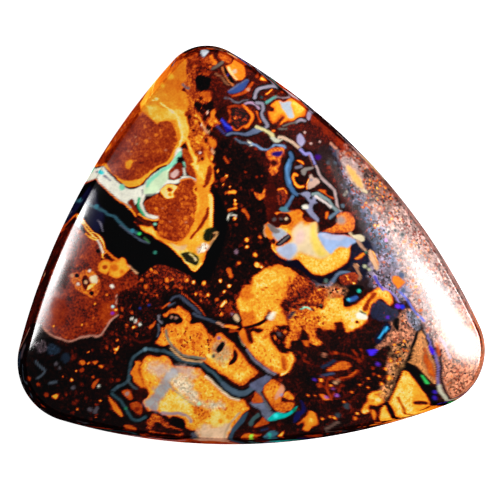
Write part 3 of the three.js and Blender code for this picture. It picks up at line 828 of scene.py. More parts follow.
def paint_middle(c):
    """The two large yellow patches of the middle, C on the left and F on the right, and D below C."""
    c.patch("patch C", 0.8, "268,267 276,265 284,266 292,269 306,281 310,287 305,288 301,283 297,282 291,285 "
            "288,291 288,297 283,301 281,305 284,309 287,321 288,325 282,326 275,326 271,330 266,331 256,328 "
            "248,328 243,326 241,318 238,308 236,301 239,297 243,297 241,291 244,287 250,284 254,276",
            ragged=1.2, mottle=0.14, stain=0.26, grit=0.2, cloud=0.1)
    c.patch("yellow of C", 0.86, "256,274 268,270 276,274 272,286 260,288 252,284", soft=4, ragged=2,
            mottle=0.14, cloud=0.1, grit=0.12)
    c.patch("orange margin of C", 0.6, "240,288 248,285 252,292 247,299 241,296", soft=6, ragged=3,
            mottle=0.14)
    c.patch("pale side of C", 0.92, "237,300 241,299 245,305 249,310 244,315 240,312", soft=5, mottle=0.14,
            ragged=2, strength=0.6)
    c.patch("red-orange of C", 0.57, "243,313 252,312 257,320 252,327 244,325", soft=5, ragged=2, mottle=0.14)
    c.patch("orange right of C", 0.6, "298,276 305,281 310,287 303,287 297,282", soft=3, strength=0.5)
    c.spots("specks of C", 0.35, "263,290,2.4 266,288,2.2 272,294,1.8 258,300,2 278,300,1.8")
    c.patch("patch D", 0.84, "250,333 253,331 258,333 263,330 265,326 270,322 275,326 271,330 270,337 "
            "279,351 286,353 291,352 294,357 293,363 289,370 283,375 277,373 265,367 252,355 247,349 249,345 "
            "250,340", mottle=0.14, stain=0.2, grit=0.35, cloud=0.1)
    c.vein("black line between them", BLACK, "269,311,2 267,317,3 263,322,3 252,326,3 245,327,2")
    c.patch("white spot", WHITE, "267,318 270,314 275,312 274,317 270,320")
    c.spots("orange-brown spots of D", 0.56, "266,337,4.4 271,368,4 263,362,4")
    c.patch("dark crack", 0.15, "246,328 250,330 252,337 253,343 250,342")
    c.patch("orange sliver", 0.62, "242,328 245,328 247,335 249,342 250,347 247,349 240,340 238,335")
    c.vein("its grey edge", (200, 190, 150), "238,336 240,341 244,346")
    c.patch("rust leaf of D", 0.48, "281,357 284,356 286,361 287,367 285,371 282,368")
    c.vein("pale rim of D", 0.94, "291,353 293,359 291,366 287,372 281,375", width=2.4)
    c.vein("black band left of D", BLACK, "236,333 240,343 245,350 262,369 268,373", width=3.6)
    c.vein("lilac-grey line of D", (130, 122, 140), "247,350 252,357 264,368 275,374", mottle=0.25)
    c.patch("patch F", 0.88, "316,290 324,288 332,290 340,291 344,296 343,300 344,304 347,307 351,305 "
            "357,303 361,299 372,291 378,287 384,288 389,291 393,297 393,303 389,306 380,299 372,306 368,318 "
            "357,329 351,332 345,332 343,325 341,322 336,323 333,330 320,327 313,319 314,313 322,303 323,299",
            mottle=0.14, stain=0.24, grit=0.2, cloud=0.1, ragged=1.2)
    c.patch("tan top of F", (186, 112, 70), "308,288 322,284 336,285 346,290 342,297 330,298 318,298 310,302",
            soft=5, ragged=3, mottle=0.3, grit=1)
    c.patch("orange lower left of F", 0.7, "314,318 322,318 330,322 333,329 322,328 314,323", soft=6,
            mottle=0.2, ragged=3, grit=0.3)
    c.patch("pale lower right of F", 0.94, "352,318 360,312 368,314 366,322 357,329 350,329", soft=6,
            mottle=0.14, ragged=2, strength=0.7)
    c.patch("white of F", WHITE, "356,314 360,312 366,314 367,318 363,320 358,318")
    c.patch("rust lens of F", 0.27, "330,296 334,293 340,295 341,298 335,298", strength=0.6)
    c.patch("red-brown bar", 0.37, "371,293 377,293 371,302 367,311 363,310 363,307 370,297")
    c.vein("olive line", (70, 60, 20), "361,311 366,314", width=1.6)
    c.spots("notches of F", BLACK, "346,305,4 357,322,2.6")
    c.patch("maroon notch", 0.18, "335,323 340,322 343,324 343,330 335,326")
    c.patch("black oval", BLACK, "316,297 321,296 324,300 325,305 322,310 316,302")
    c.spots("green spot", (90, 160, 110), "319.5,301,3.6 321,305,2.4")
    c.patch("rust between C and F", 0.4, "291,282 299,276 314,285 328,289 326,298 320,306 312,312 303,310 "
            "297,307 291,309 288,298", soft=8, ragged=5, mottle=0.35, grit=0.7, cloud=0.16)
    c.vein("maroon streak in it", 0.17, "289,304,6 296,298,10 302,294,11 310,288,6 316,284,3", soft=6,
           ragged=4, mottle=0.2, grit=0.5, strength=0.85)
    c.vein("dark line below it", 0.14, "285,312,4 294,309,6 304,305,6 314,304,4", soft=5, ragged=3,
           mottle=0.2, grit=0.6)
    c.patch("tan part below it", 0.7, "290,313 304,308 318,311 324,320 318,328 306,327 296,322 288,322",
            soft=6, ragged=4, mottle=0.35, grit=1, cloud=0.25)
    c.vein("mint flash", (130, 255, 215), "301,309.5 304,307.5 306,307.5", width=1.4)
    c.vein("second mint flash", (130, 255, 215), "308,307.5 311,309.5", width=1.4)
    c.patch("navy lens", (25, 30, 60), "287,318 290,313 296,311 290,319")
    c.patch("left arm", 0.66, "289,323 295,321 304,321 301,326 300,337 295,340 291,341 289,347 286,348 "
            "285,343 286,337 290,332", mottle=0.25, grit=0.5, cloud=0.16, ragged=1.5)
    c.patch("right arm", 0.66, "306,325 317,325 316,331 317,338 321,342 318,346 311,343 310,339 307,332",
            mottle=0.25, grit=0.5, cloud=0.16, ragged=1.5)
    c.patch("tan foot", 0.58, "302,341 308,341 309,346 305,346")
    c.patch("brown blob", 0.08, "272,330 275,326 281,326 289,325 289,331 284,343 286,349 291,350 290,352 "
            "284,353 279,351 274,341 271,336", grit=0.9)
    c.spots("grey-pink speck", (90, 70, 76), "279,334,4")


def paint_patch_a(c):
    """The yellow patch below the potch, with its grey veins."""
    c.patch("patch A", 0.77, "180,305 186,311 189,313 192,319 190,322 192,324 201,323 211,336 214,338 "
            "218,333 222,333 230,340 235,344 243,356 253,367 258,372 250,379 242,386 232,381 200,360 193,357 "
            "187,357 180,354 169,345 163,346 157,344 156,342 158,337 161,333 163,328 172,323 177,324 181,322 "
            "179,318 171,314 168,317 165,317 163,314 167,312 171,309 176,308", ragged=0.8, mottle=0.14,
            stain=0.24, grit=0.35, cloud=0.1)
    c.patch("pale middle of A", 0.86, "196,330 204,334 210,342 220,350 232,362 244,374 240,380 226,372 "
            "198,350 190,340", soft=5, ragged=2, grit=0.2, mottle=0.14, cloud=0.1)
    c.patch("specked end of A", 0.72, "162,334 168,324 180,328 194,326 205,332 212,344 208,355 194,353 "
            "180,348 170,342", soft=6, ragged=3, mottle=0.2, grit=1, cloud=0.16)
    c.patch("grey cloud of A", (196, 158, 116), "213,346 220,340 228,346 230,358 222,364 214,358", soft=7,
            ragged=3, mottle=0.3, grit=0.4, strength=0.8)
    c.patch("dark eye", BLACK, "167,318 170,314 175,313.5 180,316 183,320 181,323 176,322 165,325 161,327 "
            "160,320")
    c.spots("pink spots of the eye", (190, 130, 110), "172,317.5,3 176,318,2.4")
    c.vein("grey-teal inner line", (110, 115, 102), "166,330 169,342 180,353 186,356 205,359", width=2.4,
           mottle=0.3)
    c.vein("peach outer edge", (240, 180, 120), "170,348 178,355 186,360 202,362", width=1.5)
    c.spots("rust spots of A", 0.45, "181,341,5 187,329,2.4 192,332,2.4 185,335,2.4 199,339,2.4 188,348,2.4")
    c.vein("rust streak of A", 0.45, "193,340 193.5,350")
    c.patch("black oval 1", BLACK, "216,349 221,342 225,343 224,347 220,352 217,353")
    c.patch("black oval 2", 0.06, "234,350 237,351 238,356 236,361 233,364 229,365 230,361 233,358")
    c.spots("slate spot of A", (60, 60, 65), "213,356,3.6")
    c.spots("violet spot of A", (150, 80, 150), "219,338,4")
    c.vein("orange peak line", 0.54, "182,294 187,297 198,307 205,316")
    c.vein("left peak line", 0.54, "163,308 170,302", width=2.2)
    c.vein("slate peak line", (62, 68, 88), "170,300,1.5 179,296,2.4 192,307,3 200,314,2", mottle=0.3,
           border=1.2)
    c.vein("short slate line", (90, 96, 116), "169,305 174,303", width=1.6)
    c.vein("slate line above A", (62, 70, 88), "194,314 200,317 207,319 213,322 217,323", width=2.4,
           border=1.2)
    c.vein("pink part of it", (215, 150, 120), "217,323 225,326", width=2.4)
    c.patch("orange-yellow end", 0.73, "224,325 231,324 238,326 239,328 233,329 226,327")
    c.vein("rust line right of A", 0.45, "230,331 238,331 243,336", width=3)
    c.vein("grey upright", (120, 112, 122), "159,316 159,320 162,323", width=2.4)
    c.vein("thin slate line", (80, 86, 100), "158,325 159,330 157,336", width=1.4)
    c.patch("orange wedge", 0.57, "149,327 155,321 154,326 151,329")


def paint_main_vein(c):
    """The long slate and teal vein between patches A and B, with black along both sides."""
    line = ("112,392 118,387 124,384 128,381 130,372 131,362 134,357 138,354 143,350 150,349 157,350 163,351 "
            "168,353 173,355 177,358 181,360 187,362 193,363 199,363 204,366 209,370 214,374 219,379 223,384 "
            "228,388 233,391 240,394 247,392 252,389 257,385")
    c.vein("black along the vein", BLACK, line, width=8)
    c.vein("main vein", (54, 78, 90), line, width=3.0, mottle=0.35, cloud=0.2)
    c.spots("pale knot", (96, 130, 144), "145,349.5,4.4")
    c.vein("broad end", (74, 94, 112), "223,384 230,389.5 240,394 248,391.5 255,386", width=5)
    c.patch("slate-lilac area", (92, 96, 124), "250,384 255,380 261,378 266,375 271,377 269,382 265,386 "
            "262,391 259,393 255,390 251,388", ragged=0.6, mottle=0.25, cloud=0.15)


def paint_patch_b(c):
    """The large patch at the lower edge."""
    c.patch("left arm of B", 0.68, "134,361 139,361 141,363 139,367 140,372 144,384 144,387 141,388 136,384 "
            "133,382 132,377 130,373 135,365", mottle=0.1, stain=0.14)
    c.patch("patch B", 0.8, "141,365 145,358 150,355 158,357 164,355 170,360 174,365 182,366 194,367 201,370 "
            "221,390 229,396 237,399 245,400 246,404 250,409 245,413 234,428 228,437 227,443 205,443 200,437 "
            "196,432 190,430 185,427 184,421 181,418 174,416 169,418 163,413 154,411 147,411 143,402 147,397 "
            "149,393 147,389 143,387 142,378 140,370", mottle=0.16, stain=0.18, grit=0.3, cloud=0.1)
    c.vein("rust line of the arm", 0.48, "140,366 141,374 144,384", width=1.6)
    c.patch("peach top", (222, 180, 165), "148,366 158,363 166,364 173,367 185,367 193,369 196,375 192,380 "
            "186,377 178,374 172,373 166,377 158,376 152,372", soft=9, ragged=4, mottle=0.25, strength=0.85,
            cloud=0.1)
    c.patch("milky part", (240, 218, 180), "171,377 176,377 184,377 190,379 192,386 200,400 206,404 212,402 "
            "220,403 222,407 208,410 203,408 184,396 175,388", soft=8, ragged=4, mottle=0.3, grit=0.3,
            cloud=0.12)
    c.patch("grey-blue streak", (150, 160, 172), "164,374 170,371 174,368 178,372 176,376 171,378 170,383 "
            "173,388 176,391 173,392 170,389 167,394 160,402 157,412 148,408 144,407 146,401 154,394 155,388 "
            "161,384", soft=5, ragged=2.5, mottle=0.25, cloud=0.1, strength=0.85)
    c.patch("pale upper end of it", (205, 195, 194), "165,374 171,371 176,372 174,377 168,380 164,379",
            soft=6, ragged=3, strength=0.7)
    c.vein("slate line", (140, 140, 132), "170,384 174,390 186,400 196,406", width=1.6)
    c.patch("bright yellow", 0.9, "160,402 165,398 169,393 170,389 174,392 191,405 194,410 191,414 176,412 "
            "163,413 159,408", soft=6, ragged=2.5, mottle=0.14, cloud=0.1)
    c.vein("lilac line", (172, 142, 152), "162,413 170,414 178,413 186,415 190,419 191,422", width=2.6)
    c.patch("orange cluster", 0.66, "193,407 200,405 208,408 210,414 207,420 200,420 195,415", soft=6,
            ragged=3, grit=0.8, mottle=0.2)
    c.spots("rust dots", 0.46, "196,410,2.8 199,411,2.4 203,414,3 200,417,2.6 205,418,2.4 207,412,2.6 "
            "198,407,2.4")
    c.patch("yellow blobs", 0.9, "213,412 217,410 222,412 226,416 230,420 226,425 220,427 214,426 211,421",
            soft=3, ragged=2)
    c.spots("their orange cores", 0.7, "220,421,4.4 228,417,4.4")
    c.spots("pale mint hints", (205, 255, 205), "199,404,4", soft=3)
    c.patch("cream bottom", (242, 200, 160), "199,428 206,426 214,428 222,427 227,424 230,427 228,433 "
            "224,443 205,443 200,437 197,432", soft=6, ragged=3, mottle=0.2)
    c.vein("tan right edge", (200, 165, 130), "240,413 229,425 224,439", width=1.8)
    c.vein("cream upper right edge", (252, 232, 190), "206,376 222,391 230,397 239,400")


def paint_bottom(c):
    """The small rocks and flashes along the lower edge."""
    c.vein("teal hook", (48, 78, 88), "112,394 122,402 130,416 135,420 140,420 145,417", width=2.6,
           border=1.6)
    c.spots("green spot", (40, 130, 90), "125.5,408,2.8")
    c.vein("thin slate line", (70, 84, 92), "128,381 133,387 137,389", width=1.6)
    c.patch("rust ring 1", 0.5, "121,393 124,390 129,390 132,394 133,398 130,400")
    c.spots("its grey-pink middle", (170, 130, 120), "127,394,3.6")
    c.patch("rust ring 2", 0.45, "130,404 133,402 138,402 142,406 140,415 132,409")
    c.spots("its dark middle", 0.28, "137,409,4.4")
    c.patch("orange lens", 0.64, "108,396 117,404 121,410 124,416 120,416 115,412 111,406")
    c.patch("lower rock", 0.46, "146,421 150,417 152,413 156,414 165,420 169,424 169,428 164,427 156,422 "
            "153,427 150,430 147,428 148,425", mottle=0.3, grit=0.3)
    c.patch("black lens", BLACK, "170,424 172,420 177,418 182,419 185,423 184,428 180,429")
    c.vein("orange line", ORANGE, "170,426 181,430", width=1.6)
    c.patch("rust streak", 0.52, "124,425 134,426 137,429 132,431 127,429")
    c.vein("orange-brown streak", 0.5, "150,432 157,433 170,436 182,434", width=2.6, mottle=0.2)
    c.vein("slate fleck", (82, 82, 96), "192,434 198,439", width=2.8)
    c.vein("slate-teal leaf", (52, 78, 98), "231,438,3 233,431,4 241,421,5 247,413,2")
    c.vein("second teal leaf", (60, 90, 92), "251,424 254,419 258,415", width=4)
    c.patch("slate-lilac triangle", (112, 118, 142), "250,402 259,403 263,402 270,410 275,413 277,418 "
            "272,420 266,419 260,410 255,407", mottle=0.25, cloud=0.2)
    c.vein("grey vein", GREY, "258,392 270,409")
    c.patch("rust-orange piece", 0.5, "251,400 254,396 255,392 258,393 264,402 253,403")
    c.patch("patch E", 0.73, "263,392 264,386 268,382 272,378 281,384 284,388 282,398 283,402 293,402 "
            "294,406 291,410 285,412 279,412 274,409 266,398", mottle=0.16, stain=0.2, grit=0.4, cloud=0.12)
    c.patch("peach band of E", (240, 160, 120), "280,384 284,388 283,393 276,400 275,396 280,387")
    c.spots("lilac spot of E", LILAC, "281.5,395,3")
    c.patch("rust bottom of E", 0.58, "275,403 284,403 293,404 291,409 283,411 276,408", soft=3, mottle=0.2)
    c.patch("ring by E", 0.74, "284,393 287,391 291,393 294,397 293,400 284,398")
    c.spots("its core", 0.6, "288,396,3.4")
    c.patch("turquoise strip", (0, 200, 190), "268,419 276,413 283,413 289,412 297,407 289,416 275,420 "
            "270,421")
    c.spots("cyan spot", (60, 255, 255), "276,416,4")
    c.spots("green end", (0, 120, 85), "294,410,4")
    c.patch("red-orange triangle", 0.52, "254,426 260,421 263,416 266,419 270,423 258,427")
    c.vein("navy streak", (30, 40, 72), "262,430 268,429", width=2.4)
    c.patch("bottom orange", 0.56, "241,438 245,434 250,433 256,434 262,434 257,437")
    c.spots("lime spot", (150, 255, 70), "251.5,436,3.6")
    c.patch("teal piece", (60, 110, 130), "263,438 271,431 276,431 278,434 273,437 268,439")
    c.spots("bright teal spot", (40, 190, 170), "270,435,3.6")
    c.patch("yellow sliver", 0.86, "277,438 280,433 283,431 284,433 281,438")
    c.patch("deep blue vein", (18, 18, 84), "300,400 303,403 305,408 305,413 301,415 298,420 294,423 293,419 "
            "296,413 301,411 302,406")
    c.patch("orange round", 0.73, "302,419 306,416 309,411 313,411 316,415 318,421 317,425 313,427 310,430 "
            "306,431 302,429 304,424", stain=0.16)
    c.spots("light spot of it", 0.92, "311,420,3.6")
    c.vein("rust tail of it", 0.5, "298,424 302,421", width=2.6)
    c.patch("bottom tan edge", 0.6, "310,436 318,434 334,431 347,434 338,436 318,439", mottle=0.2)


def paint_lower_right(c):
    """The dark field with its orange pieces, and the yellow patches of the lower right corner."""
    c.patch("blue spark", (75, 40, 255), "369,350 377,350 371,356 368,353")
    c.patch("long orange piece", 0.53, "326,371 337,363 344,361 350,363 352,366 347,369", mottle=0.15)
    c.vein("navy line above it", (30, 45, 72), "323,367 334,361", width=2.8)
    c.vein("slate line below it", (62, 76, 112), "321,376 333,373", width=2.5)
    c.patch("orange line", 0.6, "345,377 357,370 355,375 351,377")
    c.vein("rust arc", 0.5, "346,377 341,378 337,380", width=2.2)
    c.spots("peach blobs", PEACH, "338,380,3.4 335,383,3.6")
    c.vein("rust hook", 0.42, "331,378 328,380 327,385 328,392 331,398 334,393", width=2.8)
    c.patch("orange chip", 0.6, "319,395 324,394 328,398 333,399 324,400")
    c.spots("violet chips", (170, 90, 200), "326,397,2.8 337,395,3.4 333,389,2.4")
    c.spots("rust spots", 0.45, "319,385,5 373,368,4 374,374,3.4")
    c.spots("small pale grains", 0.86, "321,380,4 336,353,2.8 308,395,3 352,392,3.6 344,402,2.6 369,378,2.4 "
            "331,386,3 322,419,3.6 330,417,2.6 335,418,3 368,387,2.4 360,385,2.2 315,396,2")
    c.spots("peach-brown grain", (200, 120, 90), "324,355,5")
    c.spots("slate spots", (55, 66, 74), "347,406,6 338,415,4.6")
    c.vein("tan streak", (112, 82, 72), "326,429 338,422", width=2.5)
    for arc in ("323,356 336,353 350,356 361,364", "318,374 330,379 345,379 356,374 361,368",
                "321,386 333,389 343,386", "336,399 348,396 355,389", "300,352 306,362 318,366",
                "362,392 350,402 352,412"):
        c.vein("faint rust arc", 0.34, arc, width=2.4, soft=2.6, ragged=1.5, strength=0.75)
    c.vein("rust arcs", 0.38, "353,350 357,356 359,362")
    c.vein("second rust arc", 0.38, "360,349 363,355 361,361")
    c.patch("yellow rock", 0.86, "367,402 368,396 372,392 377,391 380,390 384,391 386,395 383,398 384,402 "
            "376,406 371,405 369,408 370,412 365,414 361,411 363,406", mottle=0.12, stain=0.2)
    c.spots("rust spots of the rock", 0.5, "380,396,3 373,401,2.6 376,395,2")
    c.spots("cream spots of the rock", CREAM, "378,400,3.6 368,411,3 364,412,3 357,413,3")
    c.patch("orange under the rock", 0.65, "371,410 375,411 376,418 374,420")
    c.spots("orange dot", 0.6, "355,418,4.4")
    c.patch("yellow triangle", LEMON, "380,420 380,414 382,408 385,405 388,406 389,410 392,413 394,418 "
            "388,426 383,425")
    c.spots("its orange spot", 0.62, "388,410,3")
    c.patch("patch R", 0.91, "395,388 396,382 400,371 407,371 412,376 420,387 429,396 430,410 420,416 "
            "408,422 396,425 395,416 393,409 388,400 392,394", mottle=0.12, stain=0.14, grit=0.2, cloud=0.08)
    c.patch("amber side of R", 0.76, "416,384 424,392 429,400 426,410 416,412 412,398", soft=5)
    c.vein("crack of R", 0.2, "398,398 404,410 406,418")
    c.vein("dark cut of R", 0.18, "415,402.5 426,403", width=3.2)
    c.patch("black crack", BLACK, "384,401 388,402 394,412 396,420 393,420 387,407")


def paint_stone(c):
    """Every marking, in the order in which one covers another."""
    paint_grounds(c)
    paint_tip(c)
    paint_potch(c)
    paint_left_grit(c)
    paint_shoulder(c)
    paint_upper_nodules(c)
    paint_left_nodule(c)
    paint_upper_right(c)
    paint_heart(c)
    paint_right_edge(c)
    paint_main_vein(c)
    paint_patch_a(c)
    paint_patch_b(c)
    paint_middle(c)
    paint_bottom(c)
    paint_lower_right(c)
    paint_right_veins(c)


# Materials

# Grains are small and large cells, each with random values from 0 to 1. Of the large cells, this share are
# grains. Then come the tones that a small and a large grain add at most.
LARGE_SHARE = 0.4
SMALL_LIGHT = 0.34
LARGE_LIGHT = 0.9
# Grains add their tone on ground below the first tone, and dark specks show on ground above the second.
LIGHT_GRAINS_BELOW = ORANGE
DARK_SPECKS_ABOVE = 0.45
# Small cells above these values are dark specks, or bare ironstone where there is opal.
SPECK_FROM = 0.72
BARE_FROM = 0.74
# How strongly the fine and the broad mottling move the tone.
FINE_MOTTLING = 2.6
BROAD_MOTTLING = 1.4
# Roughness of the best and the worst polish, and what a sawn surface adds to it.
BEST_POLISH = 0.05
WORST_POLISH = 0.23
SAWN = 0.35


class Socket:
    """A node's output that can be added, multiplied and so on, which adds the Math nodes for it."""

    def __init__(self, nodes, output):
        self.nodes, self.output = nodes, output

    def math(self, operation, other, swapped=False):
        node = self.nodes.tree.nodes.new("ShaderNodeMath")
        node.operation = operation
        order = (other, self) if swapped else (self, other)
        for socket, value in zip(node.inputs, order):
            self.nodes.feed(socket, value)
        return Socket(self.nodes, node.outputs[0])

    __add__ = partialmethod(math, "ADD")
    __radd__ = partialmethod(math, "ADD", swapped=True)
    __sub__ = partialmethod(math, "SUBTRACT")
    __rsub__ = partialmethod(math, "SUBTRACT", swapped=True)
    __mul__ = partialmethod(math, "MULTIPLY")
    __rmul__ = partialmethod(math, "MULTIPLY", swapped=True)
    __truediv__ = partialmethod(math, "DIVIDE")
    __rtruediv__ = partialmethod(math, "DIVIDE", swapped=True)
    __pow__ = partialmethod(math, "POWER")
    __rpow__ = partialmethod(math, "POWER", swapped=True)
    at_most = partialmethod(math, "MINIMUM")
    at_least = partialmethod(math, "MAXIMUM")

    def clamped(self):
        return self.at_least(0.0).at_most(1.0)


class Nodes:
    """A node tree and the one way in which nodes are put in it."""

    def __init__(self, tree):
        self.tree = tree
        tree.nodes.clear()

    def feed(self, socket, value):
        if isinstance(value, Socket):
            self.tree.links.new(value.output, socket)
        else:
            socket.default_value = value

    def add(self, kind, settings=(), values=(), output=0):
        """A node of that type with its settings, its inputs' values or links, and one output picked."""
        node = self.tree.nodes.new("ShaderNode" + kind)
        for name, value in dict(settings).items():
            setattr(node, name, value)
        for name, value in dict(values).items():
            self.feed(node.inputs[name], value)
        return Socket(self, node.outputs[output]) if node.outputs else node

    def other(self, socket, output):
        """Another output of the same node."""
        return Socket(self, socket.output.node.outputs[output])

    def ramp(self, factor, stops):
        """A colour scale from displayed colours."""
        scale = self.add("ValToRGB", {}, {0: factor})
        elements = scale.output.node.color_ramp.elements
        while len(elements) < len(stops):
            elements.new(0.5)
        for element, (place, colour) in zip(elements, stops):
            element.position = place
            element.color = (*linear(colour), 1)
        return scale

    def mix(self, factor, first, second):
        return self.add("Mix", {"data_type": "RGBA"}, {0: factor, 6: first, 7: second}, output=2)

    def scaled(self, colour, factor):
        return self.add("VectorMath", {"operation": "SCALE"}, {0: colour, "Scale": factor})

    def attribute(self, name, output="Fac"):
        return self.add("Attribute", {"attribute_name": name}, output=output)

    def noise(self, place, size, detail):
        """Noise from -0.5 to 0.5 with waves of that size."""
        return self.add("TexNoise", {}, {"Vector": place, "Scale": 1 / size, "Detail": detail}, "Fac") - 0.5


def stone_material(name, settings, polish):
    """Ironstone and opal as the mesh's attributes say, with their mottling and grains."""
    material = bpy.data.materials.new(name)
    material.use_nodes = True
    n = Nodes(material.node_tree)
    place = n.add("TexCoord", output="Object")
    iron, mottle, grit = n.attribute("iron"), n.attribute("mottle"), n.attribute("grit")
    opal, cover = n.attribute("opal", "Color"), n.attribute("opal", "Alpha")

    fine = n.noise(place, settings.fine_grain, 3.0)
    broad = n.noise(place, settings.broad_grain, 2.0)
    # A cell's colour is three random values. The small cells' second one picks the specks.
    grain = {"Vector": place, "Scale": 1 / settings.small_grain}
    small = n.add("SeparateColor", {}, {"Color": n.add("TexVoronoi", {}, grain, "Color")})
    second = n.other(small, 1)
    grain = {"Vector": place, "Scale": 1 / settings.large_grain}
    away = n.add("TexVoronoi", {}, grain, "Distance")
    large = n.add("SeparateColor", {}, {"Color": n.other(away, "Color")})
    bright = ((large - (1 - LARGE_SHARE)) / LARGE_SHARE).at_least(0.0) ** 1.5 * (1.25 - away * 1.6).clamped()

    # Grains are lighter than a dark ground, and fewer and darker than a light one.
    grains = small * small * SMALL_LIGHT + bright * LARGE_LIGHT
    lighter = ((LIGHT_GRAINS_BELOW - iron) * 8).clamped()
    specks = ((second - SPECK_FROM) * 3.5).at_least(0.0) * (iron - DARK_SPECKS_ABOVE).at_least(0.0) * 1.6
    mottling = mottle * (fine * FINE_MOTTLING + broad * BROAD_MOTTLING)
    tone = iron + mottling + grit * (grains * lighter * 0.8 - specks - 0.02)
    ironstone = n.ramp(tone, IRON_SCALE)

    # Opal is stored as light times cover, so its own colour is that divided by the cover.
    flash = n.scaled(opal, 1 / cover.at_least(0.001))
    bare = ((second - BARE_FROM) * 12).clamped() * grit
    edge = cover * (1 + mottle * fine * 2 - bare)
    grains_on_opal = 1 + (small - 0.5) * grit * 2.1 + (large - 0.5) * grit * 0.5 + fine * mottle * 2.0
    flash = n.scaled(flash, grains_on_opal.at_least(0.05))
    colour = n.scaled(n.mix(edge.clamped(), ironstone, flash), settings.paint_strength)

    worn = (BEST_POLISH + mottle * 1.0 + grit * grains * 0.1).at_most(WORST_POLISH)
    relief = fine * mottle * 0.5 + grains * grit * 0.4
    bump = n.add("Bump", {}, {"Height": relief, "Distance": settings.relief, "Strength": 0.5}, "Normal")
    surface = n.add("BsdfPrincipled", {}, {
        "Base Color": colour, "Roughness": worn + SAWN * (1 - polish), "Normal": bump, "IOR": 1.5,
        "Specular IOR Level": 0.8 * polish})
    n.add("OutputMaterial", {}, {"Surface": surface})
    return material


def plain_material(name, colour, roughness, glow):
    material = bpy.data.materials.new(name)
    material.use_nodes = True
    n = Nodes(material.node_tree)
    surface = n.add("BsdfPrincipled", {}, {
        "Base Color": (*colour, 1), "Roughness": roughness, "Emission Color": (1, 1, 1, 1),
        "Emission Strength": glow})
    n.add("OutputMaterial", {}, {"Surface": surface})
    return material


# Settings

def number(name, description, default, **how):
    return FloatProperty(name=name, description=description, default=default, **how)


def length(name, description, default):
    return number(name, description, default, min=0, subtype="DISTANCE", unit="LENGTH", precision=5)


class StoneSettings(bpy.types.PropertyGroup):
    """Sizes of the stone and of the grains in it."""
    wall_top: length("Wall top", "Height where the leaning wall meets the face", 0.003)
    wall_lean: length("Wall lean", "How far the wall leans in up to its top", 0.00045)
    rounding: length("Edge rounding", "Radius of the softened edge between wall and face", 0.0002)
    chamfer: length("Back chamfer", "Width and height of the bevel round the back", 0.0003)
    dome_rise: length("Dome rise", "How far the middle of the face stands above its edge", 0.0025)
    dome_power: IntProperty(name="Dome power", description="How flat the middle of the face is", default=4,
                            min=2)
    face_steps: IntProperty(name="Face steps", description="Squares across the face", default=276, min=8)
    wall_steps: IntProperty(name="Wall steps", description="Rows of squares down the wall", default=14, min=1)
    fine_grain: length("Fine grain", "Size of the fine mottling", 0.00021)
    broad_grain: length("Broad grain", "Size of the broad mottling", 0.0011)
    small_grain: length("Small grain", "Size of the small grains in gritty parts", 0.00018)
    large_grain: length("Large grain", "Size of the large grains in gritty parts", 0.00042)
    relief: length("Relief", "Height of the polish marks in mottled and gritty parts", 0.00002)
    side_polish: number("Side polish", "Gloss of sides and back, as a share of the face's", 0.0, min=0, max=1)
    paint_strength: number("Paint strength", "Share of the traced colours' light that the stone gives back",
                           0.92, min=0)


class StageSettings(bpy.types.PropertyGroup):
    """The camera, the lamps and the table of the picture."""
    target: FloatVectorProperty(name="Target", description="Point in the middle of the picture",
                                subtype="XYZ", unit="LENGTH", default=(-0.000154, -0.000436, 0.0003))
    distance: length("Camera distance", "From the target to the camera", 0.6)
    tilt_left: number("Tilt to the left", "How far the camera leans to the stone's left", math.radians(4),
                      subtype="ANGLE")
    tilt_down: number("Tilt down", "How far the camera leans to the stone's lower side", math.radians(0.5),
                      subtype="ANGLE")
    frame_width: length("Frame width", "Width of the picture at the target", 0.042735)
    left_lamp: number("Left lamp", "Brightness of its face", 27)
    right_lamp: number("Right lamp", "Brightness of its face", 24)
    floor_width: length("Floor width", "Width of the pale floor", 3.0)
    floor_glow: number("Floor glow", "Brightness of the light table", 0.9)


# Width of the camera's sensor, in millimetres.
SENSOR = 36


def camera_axes(stage):
    """The camera's place and its right, up and back directions."""
    back = Vector((-math.sin(stage.tilt_left), -math.sin(stage.tilt_down), 1)).normalized()
    right = Vector((0, 1, 0)).cross(back).normalized()
    up = back.cross(right)
    return Vector(stage.target) + back * stage.distance, right, up, back


def to_picture(stage, points):
    """Where the camera sees points given in metres, in picture pixels from the top left."""
    eye, right, up, back = camera_axes(stage)
    offset = points - np.array(eye)
    away = -(offset @ np.array(back))
    scale = PICTURE_SIZE * stage.distance / stage.frame_width / away
    half = PICTURE_SIZE / 2
    return half + (offset @ np.array(right)) * scale, half - (offset @ np.array(up)) * scale


# Stone

# How many points the solid's outline has on a corner and on a side.
CORNER_STEPS = 14
SIDE_STEPS = 26
# Rows of the softened edge between wall and face.
ROUNDING_STEPS = 3
# How large the larger coordinate of a point on the net's own edge is at least. It is 1 but for rounding.
ON_EDGE = 0.999999
# The width of wall, in metres, on which the whole pattern from edge to middle would fold down.
FOLD = 0.017


def place_on_face(sizes, share, reach):
    """Points of the face, in metres, at a share of the way round and a reach from 0 to 1 of the way out."""
    inset = (sizes.wall_lean + sizes.rounding) / MM
    ring = outline_points(share, inset)
    middle = face_middle()
    flat = middle + (ring - middle) * reach[:, None] - outline_box_middle()
    height = sizes.wall_top + sizes.dome_rise * (1 - reach ** sizes.dome_power)
    return np.column_stack([flat * MM, height])


def face_middle():
    """The mean of the solid's outline points, which is where the solid's face has its middle."""
    points = []
    for index, (x, y, radius, start, turn) in enumerate(outline_arcs()):
        steps = SIDE_STEPS if index % 2 else CORNER_STEPS
        angle = start - turn * np.arange(steps) / steps
        points.append(np.column_stack([x + radius * np.cos(angle), y + radius * np.sin(angle)]))
    return np.vstack(points).mean(0)


